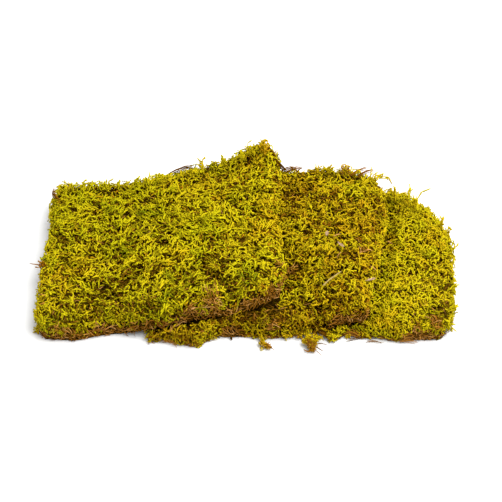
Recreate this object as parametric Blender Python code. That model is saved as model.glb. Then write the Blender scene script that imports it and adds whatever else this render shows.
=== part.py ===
"""A clump of sheet moss.

Three cut mats of moss lie on each other like shingles. The lower mat is at the right, the middle mat
laps over its left edge, and the upper mat, at the left, laps over the middle one. A mat is one solid,
from the flat thatch of dead stems underneath to the tips of its living shoots. Two loose sprigs lie on
the ground in front, and a dry straw and three dead leaves lie on the middle mat.

The frame: +X runs along the clump to the right, +Y to the back, +Z up. The origin is on the surface
that the clump rests on, under the middle of its box. Lengths are in metres.
"""

import math

import bmesh
import bpy
from mathutils import Matrix, Vector, noise

MM = 0.001

# Two grids carry every mat. Where mats touch they are flat between the points of the coarse grid, so
# that they fit everywhere, and what is open to the sky is modelled on the fine grid.
COARSE = 12 * MM
FINE = COARSE / 3
GAP = 0.4 * MM  # between two pieces that touch
CLEAR = 6 * MM  # a mat stays pressed flat this far outside the mat that lies on it
FADE = 7 * MM  # and rises to its full height over this length

# Outlines of the mats seen from above, in millimetres, counter-clockwise.
UPPER_OUTLINE = [
    (-137, -71), (-123, -76), (-104, -75), (-94, -71), (-84, -70), (-74, -73), (-45, -74), (-20, -73),
    (2, -69), (18, -60), (26, -49), (24, -22), (22, 6), (25, 40), (24, 60), (16, 75), (-8, 77),
    (-48, 82), (-72, 83), (-96, 81), (-120, 79), (-133, 79), (-141, 73), (-140, 40), (-140, 2), (-141, -38),
]
MIDDLE_OUTLINE = [
    (-68, -74), (-55, -78), (-40, -82), (-27, -82), (-18, -75), (2, -74), (24, -75), (40, -72),
    (62, -72), (79, -71), (82, -58), (87, -36), (93, -8), (98, 22), (99, 50), (94, 71), (74, 82),
    (30, 82), (-20, 70), (-62, 68), (-66, 20), (-64, -30),
]
LOWER_OUTLINE = [
    (50, -72), (60, -75), (68, -71), (77, -71), (92, -77), (112, -77), (131, -74), (139, -61),
    (142, -38), (144, -6), (144, 20), (139, 41), (130, 59), (115, 72), (98, 77), (60, 75), (-8, 70),
    (24, -3),
]
OUTLINE_STEP = 5 * MM  # between two points of a finished outline
RAGGED, RAGGED_LENGTH = 1.8 * MM, 9 * MM  # how far the cut edge wanders from its outline
OVERHANG = 1.6 * MM  # how far the shoots stand out over the foot of the thatch
FRINGE, FRINGE_LENGTH = 1.6 * MM, 5 * MM  # and how unevenly they do
RIM_ABOVE = 1 * MM  # the rim is what stands on the edge and higher than this over the underside
MERGED = 0.01 * MM  # points closer than this are one

# Heights.
LOWER_PRESSED = 12 * MM  # the lower mat, where the middle one lies on it
LOWER_OPEN = 18 * MM  # and where it is open to the sky
MIDDLE_OPEN = 20.5 * MM
UPPER_OPEN = 21 * MM
# The lower mat's hidden left edge runs askew, and wedges in under the middle mat over this stretch.
LOWER_EDGE_MIDDLE = 23 * MM
LOWER_EDGE_SLANT = -0.44
CLIMB_BEFORE, CLIMB_AFTER = 15 * MM, 18 * MM
# The middle mat is crushed under the upper one, and most at its loose left edge: (x, thickness) in mm.
MIDDLE_PRESSED = [(-84, 0), (-70, 4.6), (-55, 9.5), (-27, 17), (0, 20), (60, 20.5)]
# The upper mat's back right corner stands up.
PEAK = (14, 65)  # mm
PEAK_RADIUS = 21 * MM
PEAK_HEIGHT, PEAK_LIFT = 6.5 * MM, 5 * MM  # of the tips, and of the mat's underside
# The upper mat also stands a little off the middle one over its back right quarter.
BACK_LIFT = 2 * MM
BACK_LIFT_X = (-60 * MM, 20 * MM)  # from none of it to all of it
BACK_LIFT_Y = (-20 * MM, 70 * MM)

# The open surface: soft swells, tufts on them, and an edge that rounds off.
SWELL, SWELL_LENGTH = 2.4 * MM, 44 * MM
TUFT, TUFT_LENGTH = 7 * MM, 11 * MM
EDGE_ROUND = 8 * MM
EDGE_SHARE = 0.66  # of the full height, at the very edge

# What lies about. A stem is its points in millimetres, and its radius at each.
FRONT_SPRIG = [
    ([(40.5, -79.6, 4.2), (43, -82, 4.6), (45.5, -86, 3.2), (47, -89, 2)], [2.4, 3.9, 2.6, 1]),
    ([(41, -81, 4.2), (37, -80, 4), (34, -79.5, 3)], [2, 1.5, 0.7]),
    ([(44, -82, 4.6), (47.5, -80, 5.4), (50, -79.5, 5.2)], [2.2, 1.5, 0.7]),
    ([(43.5, -84, 3.4), (40.5, -86, 2.4), (37.5, -85, 1.4)], [2, 1.2, 0.5]),
    ([(45, -83.4, 3.6), (49.5, -82.8, 3.8), (54.5, -82.6, 3.2)], [1.2, 0.6, 0.5]),
    ([(45, -85, 3.2), (48.5, -86.6, 3), (52, -88.4, 1.8)], [1.2, 0.6, 0.5]),
    ([(46.2, -88, 2.2), (48.2, -90.6, 1.8), (50.5, -93, 1)], [1, 0.6, 0.5]),
]
SMALL_SPRIG = [
    ([(9, -80, 2), (12.5, -82, 2.4), (15.5, -83.6, 1.7)], [1.2, 2, 1.3]),
    ([(14.8, -83.2, 1.8), (17, -84.6, 1.4), (19, -85.6, 0.8)], [1.4, 1, 0.4]),
    ([(12.4, -82, 2.2), (11, -84, 1.5), (10.4, -86, 0.9)], [1.2, 0.8, 0.4]),
]
STEM_FACETS = 1  # the bevel resolution of a stem
STRAW_ENDS = [(50.5, -56.5), (63, -45.5)]
STRAW_RADII = [0.6, 0.6, 0.6, 0.5, 0.4]
STRAW_REACH = 3  # mm; it clears the tips this far to its sides
# The dead leaves: where each lies, in millimetres, how far it is turned, and its length.
DEAD_LEAVES = {
    "dead_leaf_1": ((55, -3), 80, 7),
    "dead_leaf_2": ((64, -17), -55, 7.5),
    "dead_leaf_3": ((82, -50), 20, 8),
}
LEAF_THICKNESS = 0.7 * MM
LEAF_OUTLINE = [  # for a length of 1
    (-0.5, 0.02), (-0.36, -0.12), (-0.12, -0.15), (0.1, -0.26), (0.22, -0.14), (0.5, -0.04),
    (0.3, 0.08), (0.2, 0.24), (0.02, 0.13), (-0.24, 0.17),
]

MAT_COLOUR = {
    "upper": (0.30, 0.24, 0.010),
    "middle": (0.28, 0.19, 0.012),
    "lower": (0.39, 0.29, 0.010),
}
SPRIG_COLOUR = (0.30, 0.20, 0.020)
STRAW_COLOUR = (0.48, 0.36, 0.16)
DEAD_LEAF_COLOUR = (0.34, 0.25, 0.17)

pieces = bpy.data.collections.new("moss_clump")
helpers = bpy.data.collections.new("cutters")


def clear_scene():
    for obj in list(bpy.data.objects):
        bpy.data.objects.remove(obj)
    for collection in (pieces, helpers):
        bpy.context.scene.collection.children.link(collection)


def material(name, colour):
    made = bpy.data.materials.new(name)
    made.use_nodes = True
    shader = made.node_tree.nodes["Principled BSDF"]
    shader.inputs["Base Color"].default_value = (*colour, 1)
    shader.inputs["Roughness"].default_value = 0.9
    shader.inputs["Metallic"].default_value = 0
    made.diffuse_color = (*colour, 1)
    return made


# ------------------------------------------------------------------ outlines


def smooth_step(t):
    t = min(max(t, 0.0), 1.0)
    return t * t * (3 - 2 * t)


def rise_between(span, x):
    """0 before the span, 1 past it, and a smooth rise over it."""
    return smooth_step((x - span[0]) / (span[1] - span[0]))


def catmull_rom(a, b, c, d, t):
    """A point on the smooth curve from b to c, at t from 0 to 1."""
    return 0.5 * (2 * b + (c - a) * t + (2 * a - 5 * b + 4 * c - d) * t * t + (3 * b - a - 3 * c + d) * t**3)


def torn_outline(points_mm, seed):
    """A mat's edge seen from above, as two polygons with matching points: its foot and its fringe."""
    points = [Vector(p) * MM for p in points_mm]
    count = len(points)
    curve = []
    for i in range(count):
        a, b, c, d = (points[(i + k) % count] for k in (-1, 0, 1, 2))
        steps = max(1, round((c - b).length / OUTLINE_STEP))
        curve += [catmull_rom(a, b, c, d, k / steps) for k in range(steps)]
    foot, fringe = [], []
    for i, p in enumerate(curve):
        along = (curve[(i + 1) % len(curve)] - curve[i - 1]).normalized()
        outwards = Vector((along.y, -along.x))
        wander = RAGGED * noise.noise(Vector((p.x, p.y, 0)) / RAGGED_LENGTH + Vector((0, 0, seed)))
        stray = FRINGE * noise.noise(Vector((p.x, p.y, 0)) / FRINGE_LENGTH + Vector((0, 0, seed + 9.5)))
        foot.append(p + outwards * (wander - OVERHANG))
        fringe.append(p + outwards * (wander + stray))
    return foot, fringe


def nearest_on(outline, x, y):
    """The outline's point nearest to (x, y): how far it is, its edge's number, and how far along that."""
    best = (math.inf, 0, 0.0)
    for i, a in enumerate(outline):
        edge, to_point = outline[i - 1] - a, Vector((x, y)) - a
        share = min(max(to_point.dot(edge) / edge.length_squared, 0), 1)
        best = min(best, ((to_point - edge * share).length, i, share))
    return best


def outside_by(outline, x, y):
    """How far a point lies outside the outline; it is negative inside."""
    inside = False
    for i, a in enumerate(outline):
        b = outline[i - 1]
        if (a.y > y) != (b.y > y) and x < a.x + (y - a.y) * (b.x - a.x) / (b.y - a.y):
            inside = not inside
    away = nearest_on(outline, x, y)[0]
    return -away if inside else away


UPPER_EDGE = torn_outline(UPPER_OUTLINE, 1.4)
MIDDLE_EDGE = torn_outline(MIDDLE_OUTLINE, 2.4)
LOWER_EDGE = torn_outline(LOWER_OUTLINE, 3.4)


# ------------------------------------------------------------------ heights


def on_coarse_grid(height):
    """The height function made flat on each triangle of the coarse grid."""
    known = {}

    def at(i, j):
        if (i, j) not in known:
            known[i, j] = height(i * COARSE, j * COARSE)
        return known[i, j]

    def surface(x, y):
        i, j = math.floor(x / COARSE + 1e-6), math.floor(y / COARSE + 1e-6)
        u, v = x / COARSE - i, y / COARSE - j
        right, back = at(i + 1, j), at(i, j + 1)
        if u + v <= 1:
            near = at(i, j)
            return near + u * (right - near) + v * (back - near)
        far = at(i + 1, j + 1)
        return far + (1 - u) * (back - far) + (1 - v) * (right - far)

    return surface


def ground(x, y):
    return 0.0


def climb(x, y):
    """The height that the middle mat lies at: on the ground, and from there up onto the lower one."""
    past_edge = x - (LOWER_EDGE_MIDDLE + LOWER_EDGE_SLANT * y)
    return (LOWER_PRESSED + GAP) * smooth_step((past_edge + CLIMB_BEFORE) / (CLIMB_BEFORE + CLIMB_AFTER))


def crushed_middle(x):
    """The middle mat's thickness under the upper one, read between the points of MIDDLE_PRESSED."""
    x /= MM
    if x <= MIDDLE_PRESSED[0][0]:
        return 0.0
    for (x0, t0), (x1, t1) in zip(MIDDLE_PRESSED, MIDDLE_PRESSED[1:]):
        if x <= x1:
            return (t0 + (t1 - t0) * (x - x0) / (x1 - x0)) * MM
    return MIDDLE_PRESSED[-1][1] * MM


def peak(x, y):
    """1 at the upper mat's raised corner, falling to 0 round it."""
    away = math.hypot(x - PEAK[0] * MM, y - PEAK[1] * MM) / PEAK_RADIUS
    return math.exp(-away * away)


def upper_lift(x, y):
    """The gap between the upper mat and the middle one, which is widest under the raised corner."""
    on_middle = 1 if x > MIDDLE_PRESSED[0][0] * MM else 0
    back_right = rise_between(BACK_LIFT_X, x) * rise_between(BACK_LIFT_Y, y)
    return GAP * on_middle + PEAK_LIFT * peak(x, y) + BACK_LIFT * back_right


middle_bed = on_coarse_grid(climb)
lower_pressed = on_coarse_grid(lambda x, y: max(climb(x, y) - GAP, 0.5 * MM))
middle_pressed = on_coarse_grid(lambda x, y: climb(x, y) + crushed_middle(x))
upper_bed = on_coarse_grid(lambda x, y: climb(x, y) + crushed_middle(x) + upper_lift(x, y))


def swells(x, y, seed):
    return SWELL * noise.noise(Vector((x, y, 0)) / SWELL_LENGTH + Vector((0, 0, seed)))


def tufts(x, y, seed):
    """Blunt cones, one for each cell of a random pattern."""
    distances, _ = noise.voronoi(Vector((x, y, 0)) / TUFT_LENGTH + Vector((seed, seed, 0)))
    return TUFT * (0.45 - distances[0])


def open_top(bed, thickness, edge, seed):
    """The tips of the shoots, on a mat that lies on bed and has the sky above it."""

    def height(x, y):
        inwards = min(max(-outside_by(edge, x, y) / EDGE_ROUND, 0), 1)
        rounded = EDGE_SHARE + (1 - EDGE_SHARE) * math.sqrt(1 - (1 - inwards) ** 2)
        body = thickness(x, y) + swells(x, y, seed)
        return bed(x, y) + body * rounded + tufts(x, y, seed) * (0.5 + 0.5 * inwards)

    return height


def pressed_under(top, cover, cover_edge):
    """The top, pressed down to cover wherever the next mat lies on it."""

    def height(x, y):
        away = outside_by(cover_edge, x, y) - CLEAR
        if away <= 0:
            return cover(x, y)
        return cover(x, y) + (top(x, y) - cover(x, y)) * smooth_step(away / FADE)

    return height


def upper_thickness(x, y):
    return UPPER_OPEN + (PEAK_HEIGHT - PEAK_LIFT) * peak(x, y)


lower_open = open_top(ground, lambda x, y: LOWER_OPEN, LOWER_EDGE[0], 5.1)
middle_open = open_top(middle_bed, lambda x, y: MIDDLE_OPEN, MIDDLE_EDGE[0], 7.3)
lower_top = pressed_under(lower_open, lower_pressed, MIDDLE_EDGE[0])
middle_top = pressed_under(middle_open, middle_pressed, UPPER_EDGE[0])
upper_top = open_top(upper_bed, upper_thickness, UPPER_EDGE[0], 2.7)


# ------------------------------------------------------------------ mats


def grid_over(outline):
    """A flat grid over the outline, its points on whole cells and every square split the same way."""
    low = [math.floor(min(p[k] for p in outline) / COARSE - 1) * COARSE for k in (0, 1)]
    high = [math.ceil(max(p[k] for p in outline) / COARSE + 1) * COARSE for k in (0, 1)]
    across, deep = (round((high[k] - low[k]) / FINE) for k in (0, 1))
    mesh = bmesh.new()
    bmesh.ops.create_grid(mesh, x_segments=across, y_segments=deep, size=0.5)
    for v in mesh.verts:
        v.co = (low[0] + (v.co.x + 0.5) * across * FINE, low[1] + (v.co.y + 0.5) * deep * FINE, 0)
    for face in list(mesh.faces):
        ends = sorted(face.verts, key=lambda v: v.co.x - v.co.y)
        bmesh.utils.face_split(face, ends[0], ends[-1])
    return mesh


def slab_between(name, outline, bottom, top):
    """A block that reaches past the outline, between two surfaces."""
    mesh = grid_over(outline)
    lifted = bmesh.ops.extrude_face_region(mesh, geom=mesh.faces[:])["geom"]
    upper = {v for v in lifted if isinstance(v, bmesh.types.BMVert)}
    for v in mesh.verts:
        v.co.z = top(v.co.x, v.co.y) if v in upper else bottom(v.co.x, v.co.y)
    bmesh.ops.recalc_face_normals(mesh, faces=mesh.faces)
    bmesh.ops.dissolve_limit(mesh, angle_limit=math.radians(0.02), verts=mesh.verts, edges=mesh.edges)
    return as_object(mesh, name, pieces)


def as_object(mesh, name, collection):
    data = bpy.data.meshes.new(name)
    mesh.to_mesh(data)
    mesh.free()
    obj = bpy.data.objects.new(name, data)
    collection.objects.link(obj)
    return obj


def evaluated_mesh(obj):
    """The object's mesh with its modifiers done, its doubles merged and its faces pointing out."""
    bpy.context.view_layer.update()
    graph = bpy.context.evaluated_depsgraph_get()
    made = bpy.data.meshes.new_from_object(obj.evaluated_get(graph))
    mesh = bmesh.new()
    mesh.from_mesh(made)
    bpy.data.meshes.remove(made)
    bmesh.ops.remove_doubles(mesh, verts=mesh.verts, dist=MERGED)
    bmesh.ops.recalc_face_normals(mesh, faces=mesh.faces)
    return mesh


def cookie_cutter(name, outline):
    """An upright block with the outline's plan, taller than the whole clump."""
    curve = bpy.data.curves.new(name, "CURVE")
    curve.dimensions = "2D"
    curve.fill_mode = "BOTH"
    curve.extrude = 100 * MM
    spline = curve.splines.new("POLY")
    spline.points.add(len(outline) - 1)
    for point, p in zip(spline.points, outline):
        point.co = (p.x, p.y, 0, 1)
    spline.use_cyclic_u = True
    guide = bpy.data.objects.new(name + "_outline", curve)
    helpers.objects.link(guide)
    cutter = as_object(evaluated_mesh(guide), name, helpers)
    bpy.data.objects.remove(guide)
    cutter.hide_render = True
    cutter.display_type = "WIRE"
    return cutter


def add_mat(name, edge, bottom, top, colour, cover=None):
    """A mat: the block between its two surfaces, cut out at the foot of its edge.

    Its rim is drawn out to the fringe, except where the next mat covers it.
    """
    foot, fringe = edge
    mat = slab_between(name, foot, bottom, top)
    cut = mat.modifiers.new("cut_out", "BOOLEAN")
    cut.operation = "INTERSECT"
    cut.object = cookie_cutter(name + "_cutter", foot)
    mesh = evaluated_mesh(mat)
    for v in mesh.verts:
        away, i, share = nearest_on(foot, v.co.x, v.co.y)
        on_rim = away < MERGED and v.co.z > bottom(v.co.x, v.co.y) + RIM_ABOVE
        if on_rim and not (cover and outside_by(cover, v.co.x, v.co.y) < CLEAR):
            v.co.xy = fringe[i].lerp(fringe[i - 1], share)
    mat.modifiers.clear()
    mesh.to_mesh(mat.data)
    mesh.free()
    mat.data.materials.append(material(name, colour))


# ------------------------------------------------------------------ loose bits


def stem(name, points_mm, radii_mm):
    """A thin stem through a few points, with a radius at each, as a closed mesh."""
    curve = bpy.data.curves.new(name, "CURVE")
    curve.dimensions = "3D"
    curve.bevel_depth = MM
    curve.bevel_resolution = STEM_FACETS
    curve.use_fill_caps = True
    spline = curve.splines.new("POLY")
    spline.points.add(len(points_mm) - 1)
    for point, p, radius in zip(spline.points, points_mm, radii_mm):
        point.co = (*(c * MM for c in p), 1)
        point.radius = radius
    guide = bpy.data.objects.new(name + "_line", curve)
    helpers.objects.link(guide)
    mesh = evaluated_mesh(guide)
    bpy.data.objects.remove(guide)
    return mesh


def add_sprig(name, stems):
    """Stems fused into one branching sprig, which lies on the ground: the first one carries the others."""
    sprig = as_object(stem(name, *stems[0]), name, pieces)
    for number, (points, radii) in enumerate(stems[1:], 1):
        branch = as_object(stem(f"{name}_branch_{number}", points, radii), f"{name}_branch_{number}", helpers)
        branch.hide_render = True
        branch.display_type = "WIRE"
        join = sprig.modifiers.new(f"branch_{number}", "BOOLEAN")
        join.operation = "UNION"
        join.object = branch
    fused = evaluated_mesh(sprig)
    sprig.modifiers.clear()
    lowest = min(v.co.z for v in fused.verts)
    fused.transform(Matrix.Translation((0, 0, -lowest)))
    fused.to_mesh(sprig.data)
    fused.free()
    sprig.data.materials.append(material(name, SPRIG_COLOUR))


def height_over(surface, place_mm, reach_mm):
    """The highest, in millimetres, that the surface gets at a place and round it."""
    x, y = place_mm
    around = [(0, 0), (reach_mm, 0), (-reach_mm, 0), (0, reach_mm), (0, -reach_mm)]
    return max(surface((x + dx) * MM, (y + dy) * MM) for dx, dy in around) / MM


def add_straw(name, ends_mm, surface):
    """A dry straw that lies over the tips of the shoots, a little bent."""
    first, last = (Vector(end) for end in ends_mm)
    steps = len(STRAW_RADII) - 1
    route = [first.lerp(last, k / steps) for k in range(steps + 1)]
    lift = STRAW_RADII[0] + 2 * GAP / MM
    points = [(*p, height_over(surface, p, STRAW_REACH) + lift) for p in route]
    straw = as_object(stem(name, points, STRAW_RADII), name, pieces)
    straw.data.materials.append(material(name, STRAW_COLOUR))


def add_dead_leaf(name, place_mm, turn, length, surface):
    """A crumb of dead leaf that lies flat over the tips of the shoots."""
    curve = bpy.data.curves.new(name, "CURVE")
    curve.dimensions = "2D"
    curve.fill_mode = "BOTH"
    curve.extrude = LEAF_THICKNESS / 2
    spline = curve.splines.new("POLY")
    spline.points.add(len(LEAF_OUTLINE) - 1)
    for point, (x, y) in zip(spline.points, LEAF_OUTLINE):
        point.co = (x * length * MM, y * length * MM, 0, 1)
    spline.use_cyclic_u = True
    guide = bpy.data.objects.new(name + "_outline", curve)
    helpers.objects.link(guide)
    mesh = evaluated_mesh(guide)
    bpy.data.objects.remove(guide)
    z = height_over(surface, place_mm, length / 2) * MM + LEAF_THICKNESS
    place = Matrix.Translation((place_mm[0] * MM, place_mm[1] * MM, z))
    mesh.transform(place @ Matrix.Rotation(math.radians(turn), 4, "Z"))
    leaf = as_object(mesh, name, pieces)
    leaf.data.materials.append(material(name, DEAD_LEAF_COLOUR))


def stand_on_origin():
    """Move everything so that the origin is under the middle of the clump's box."""
    bpy.context.view_layer.update()
    graph = bpy.context.evaluated_depsgraph_get()
    corners = [Vector(c) for obj in pieces.objects for c in obj.evaluated_get(graph).bound_box]
    middle = [(min(c[k] for c in corners) + max(c[k] for c in corners)) / 2 for k in (0, 1)]
    for obj in list(pieces.objects) + list(helpers.objects):
        obj.location -= Vector((*middle, 0))


def main():
    clear_scene()
    add_mat("lower_mat", LOWER_EDGE, ground, lower_top, MAT_COLOUR["lower"], cover=MIDDLE_EDGE[0])
    add_mat("middle_mat", MIDDLE_EDGE, middle_bed, middle_top, MAT_COLOUR["middle"], cover=UPPER_EDGE[0])
    add_mat("upper_mat", UPPER_EDGE, upper_bed, upper_top, MAT_COLOUR["upper"])
    add_sprig("front_sprig", FRONT_SPRIG)
    add_sprig("small_sprig", SMALL_SPRIG)
    add_straw("straw", STRAW_ENDS, middle_top)
    for name, (place, turn, length) in DEAD_LEAVES.items():
        add_dead_leaf(name, place, turn, length, middle_top)
    stand_on_origin()


main()
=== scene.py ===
# %% [markdown]
# # A clump of sheet moss
#
# Sheet moss grows in thin mats that peel off bark or soil in one go: a felt of brown dead stems
# below, and a crowded layer of living shoots on it. The clump is three cut mats that lie on each
# other like shingles, two torn sprigs in front of them, and a straw and a few crumbs of dead leaf
# that fell on top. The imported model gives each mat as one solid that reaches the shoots' tips. This
# lesson fills each of those solids with what really is in it.

import math

import bmesh
import bpy
import numpy as np
from mathutils import Matrix, Vector, kdtree, noise
from mathutils.bvhtree import BVHTree


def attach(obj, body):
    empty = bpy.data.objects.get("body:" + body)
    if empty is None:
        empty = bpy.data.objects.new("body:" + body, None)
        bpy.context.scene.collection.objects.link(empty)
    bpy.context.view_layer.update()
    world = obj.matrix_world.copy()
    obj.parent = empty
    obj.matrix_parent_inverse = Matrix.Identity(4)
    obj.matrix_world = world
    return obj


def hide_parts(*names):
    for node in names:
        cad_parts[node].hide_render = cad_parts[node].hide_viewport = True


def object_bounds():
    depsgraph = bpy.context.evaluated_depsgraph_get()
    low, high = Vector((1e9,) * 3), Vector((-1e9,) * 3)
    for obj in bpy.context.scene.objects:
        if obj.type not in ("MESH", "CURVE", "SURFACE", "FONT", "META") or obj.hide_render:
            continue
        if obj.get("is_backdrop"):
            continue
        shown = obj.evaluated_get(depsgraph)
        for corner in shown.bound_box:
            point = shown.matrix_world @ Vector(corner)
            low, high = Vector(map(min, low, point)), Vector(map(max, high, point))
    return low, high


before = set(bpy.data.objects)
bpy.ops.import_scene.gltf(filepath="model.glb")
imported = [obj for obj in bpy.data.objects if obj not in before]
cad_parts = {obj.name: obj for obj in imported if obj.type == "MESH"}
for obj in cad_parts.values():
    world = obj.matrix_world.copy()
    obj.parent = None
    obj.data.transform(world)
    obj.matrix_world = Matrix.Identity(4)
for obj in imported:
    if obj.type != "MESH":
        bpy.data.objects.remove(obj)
cad_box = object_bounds()
MM = 0.001  # every length is in metres
print("the packed clump's box, in mm:", [[round(c / MM, 1) for c in corner] for corner in cad_box])

# %% [markdown]
# ## The camera
#
# The clump was photographed from in front and above, with a long lens on a table top. A camera that
# stands a metre away gives the same flat perspective. It is placed so that one known point of the
# clump lands on the pixel where the photograph has it, so no lens shift is needed.

# %% Camera
PICTURE = 502  # pixels, both ways
ELEVATION = math.radians(38)
DISTANCE = 1.0
PIXEL = 0.69 * MM  # what one pixel covers at that distance
AIM = Vector((-1.8, 4.6, 20)) * MM
AIM_PIXEL = (246, 247)  # where the aim is seen, from the picture's top left corner
SENSOR = 36  # mm, Blender's usual sensor width

to_camera = Vector((0, -math.cos(ELEVATION), math.sin(ELEVATION)))
rightwards = Vector((1, 0, 0))
upwards = to_camera.cross(rightwards)
middle = PICTURE / 2
eye = AIM + to_camera * DISTANCE
eye += (rightwards * (middle - AIM_PIXEL[0]) - upwards * (middle - AIM_PIXEL[1])) * PIXEL
lens = bpy.data.cameras.new("camera")
lens.sensor_width = SENSOR
lens.lens = SENSOR * DISTANCE / PIXEL / PICTURE
lens.clip_start, lens.clip_end = 0.01, 10
camera = bpy.data.objects.new("camera", lens)
turned = Matrix((rightwards, upwards, to_camera)).transposed().to_4x4()
camera.matrix_world = Matrix.Translation(eye) @ turned
bpy.context.scene.collection.objects.link(camera)
bpy.context.scene.camera = camera
print("focal length in mm:", round(lens.lens, 1))


def seen(pixel, y):
    """The point on the line of sight through a pixel of the picture, at that distance to the back."""
    aside, above = (pixel[0] - middle) * PIXEL, (middle - pixel[1]) * PIXEL
    ray = rightwards * aside + upwards * above - to_camera * DISTANCE
    return eye + ray * ((y - eye.y) / ray.y)

# %% [markdown]
# ## Materials
#
# Every shoot carries a small map of its own, a UV map, in which one axis is its tone, from brown
# through green to yellow, and the other runs from its old dark foot to its young bright tip. That
# second axis also carries painted shade: it is lowered where a shoot lies deep among the others, and
# in the creases between whorls. One material then colours ten thousand shoots, each a little
# differently. A ramp turns a number into a colour, which is all that this needs.

# %% A material's helpers
MAP = "OFBake"  # the name of the UV map that the shoots and fibres bring along


def plain_material(name, roughness, gloss):
    """A material with one shader, and its node tree, ready for a colour."""
    made = bpy.data.materials.new(name)
    made.use_nodes = True
    shader = made.node_tree.nodes["Principled BSDF"]
    shader.inputs["Roughness"].default_value = roughness
    shader.inputs["Specular IOR Level"].default_value = gloss
    return made, made.node_tree, shader


def ramp(tree, source, stops):
    """A colour ramp that reads source. The stops are (place, colour), with colours in linear light."""
    node = tree.nodes.new("ShaderNodeValToRGB")
    elements = node.color_ramp.elements
    while len(elements) < len(stops):
        elements.new(0.5)
    for element, (place, colour) in zip(elements, sorted(stops)):
        element.position = place
        element.color = (*colour, 1)
    tree.links.new(source, node.inputs["Fac"])
    return node.outputs["Color"]


def blended(tree, kind, factor, first, second):
    """Two colours blended: MIX or MULTIPLY. The factor is a number or a socket."""
    node = tree.nodes.new("ShaderNodeMix")
    node.data_type = "RGBA"
    node.blend_type = kind
    if isinstance(factor, (int, float)):
        node.inputs["Factor"].default_value = factor
    else:
        tree.links.new(factor, node.inputs["Factor"])
    tree.links.new(first, node.inputs["A"])
    tree.links.new(second, node.inputs["B"])
    return node.outputs["Result"]


def grey(level):
    """A colour without hue, where 1 is white."""
    return (level, level, level)


def noise_of(tree, source, scale, detail):
    """How strong a noise is at the places that source gives."""
    node = tree.nodes.new("ShaderNodeTexNoise")
    node.inputs["Scale"].default_value = scale
    node.inputs["Detail"].default_value = detail
    tree.links.new(source, node.inputs["Vector"])
    return node.outputs["Fac"]


def bumped(tree, shader, height, distance):
    """Gives a shader a relief that is distance high at most."""
    node = tree.nodes.new("ShaderNodeBump")
    node.inputs["Distance"].default_value = distance
    tree.links.new(height, node.inputs["Height"])
    tree.links.new(node.outputs["Normal"], shader.inputs["Normal"])


# %% Living moss
AGE_AND_SHADE = [(0.0, grey(0)), (0.35, grey(0.5)), (0.7, grey(1))]  # from the foot's colour to the tip's; deep places get the foot's colour too, as painted shade
# painted shade: darkens the colour where the second axis is low, at old feet and deep among the shoots, and dims
# the brightest tips a little
PAINTED_SHADE = [(0.0, grey(0.45)), (0.5, grey(0.93)), (0.75, grey(0.98)), (0.95, grey(0.94))]


def moss_material(name, tones, foot):
    """Tones are the tips' colours over the map's first axis. Feet all fade to one dark colour, and along the
    second axis painted shade darkens deep places.
    """
    made, tree, shader = plain_material(name, roughness=0.75, gloss=0.015)
    uv = tree.nodes.new("ShaderNodeUVMap")
    uv.uv_map = MAP
    axes = tree.nodes.new("ShaderNodeSeparateXYZ")
    tree.links.new(uv.outputs["UV"], axes.inputs["Vector"])
    # the second axis: the shoot's lightness, lowered by painted shade deep among the shoots and in creases
    tone, young = axes.outputs["X"], axes.outputs["Y"]
    feet, tips = ramp(tree, tone, [(0, foot), (1, foot)]), ramp(tree, tone, tones)
    colour = blended(tree, "MIX", ramp(tree, young, AGE_AND_SHADE), feet, tips)
    colour = blended(tree, "MULTIPLY", 1.0, colour, ramp(tree, young, PAINTED_SHADE))
    tree.links.new(colour, shader.inputs["Base Color"])
    return made


MOSS_TONES = [
    (0.00, (0.14, 0.048, 0.002)),  # dead brown
    (0.14, (0.27, 0.120, 0.003)),  # withered
    (0.30, (0.355, 0.210, 0.003)),  # ochre
    (0.45, (0.385, 0.268, 0.003)),  # golden
    (0.60, (0.400, 0.319, 0.004)),  # yellow
    (0.75, (0.370, 0.316, 0.003)),  # yellow green
    (0.90, (0.27, 0.250, 0.002)),  # moss green
    (1.00, (0.12, 0.145, 0.002)),  # dark green
]
moss = moss_material("living_moss", MOSS_TONES, foot=(0.068, 0.029, 0.0001))
print("living moss has", len(MOSS_TONES), "tones")

# %% [markdown]
# ## Thatch
#
# The felt of old stems under the shoots is what shows as a brown band along the cut edges. The felt
# itself is a lumpy block, coloured by two noises at two sizes, and loose fibres lie over it.

# %% Felt and fibre materials
FELT_BROWNS = [(0.4, (0.020, 0.010, 0.0002)), (0.6, (0.050, 0.025, 0.0005))]
FELT_GRAIN = [(0.42, grey(0.3)), (0.6, grey(1.4))]


def felt_material(name):
    made, tree, shader = plain_material(name, roughness=0.95, gloss=0.02)
    place = tree.nodes.new("ShaderNodeTexCoord").outputs["Object"]
    lumps = noise_of(tree, place, scale=160, detail=4)
    fibres = noise_of(tree, place, scale=900, detail=3)
    brown, grain = ramp(tree, lumps, FELT_BROWNS), ramp(tree, fibres, FELT_GRAIN)
    tree.links.new(blended(tree, "MULTIPLY", 1.0, brown, grain), shader.inputs["Base Color"])
    bumped(tree, shader, fibres, 0.6 * MM)
    return made


FIBRE_TONES = [
    (0.0, (0.036, 0.016, 0.0002)),  # wet and dark
    (0.3, (0.105, 0.043, 0.001)),
    (0.6, (0.245, 0.098, 0.008)),  # reddish brown
    (0.85, (0.38, 0.180, 0.036)),
    (1.0, (0.49, 0.27, 0.09)),  # dry and pale
]
felt = felt_material("felt_of_dead_stems")
dead_stems = moss_material("dead_stems", FIBRE_TONES, foot=(0.066, 0.030, 0.0006))
print("dead stems have", len(FIBRE_TONES), "tones")

# %% [markdown]
# ## The mats as surfaces to plant on
#
# Each mat's solid is read once: its triangles, how large each is, and which way the surface faces.
# Normals are taken from a smoothed copy, so that neighbouring shoots lean alike. A tree of the
# triangles answers the two questions that planting asks: is this place under another mat, and how
# high is it above the mat's own underside?

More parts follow.
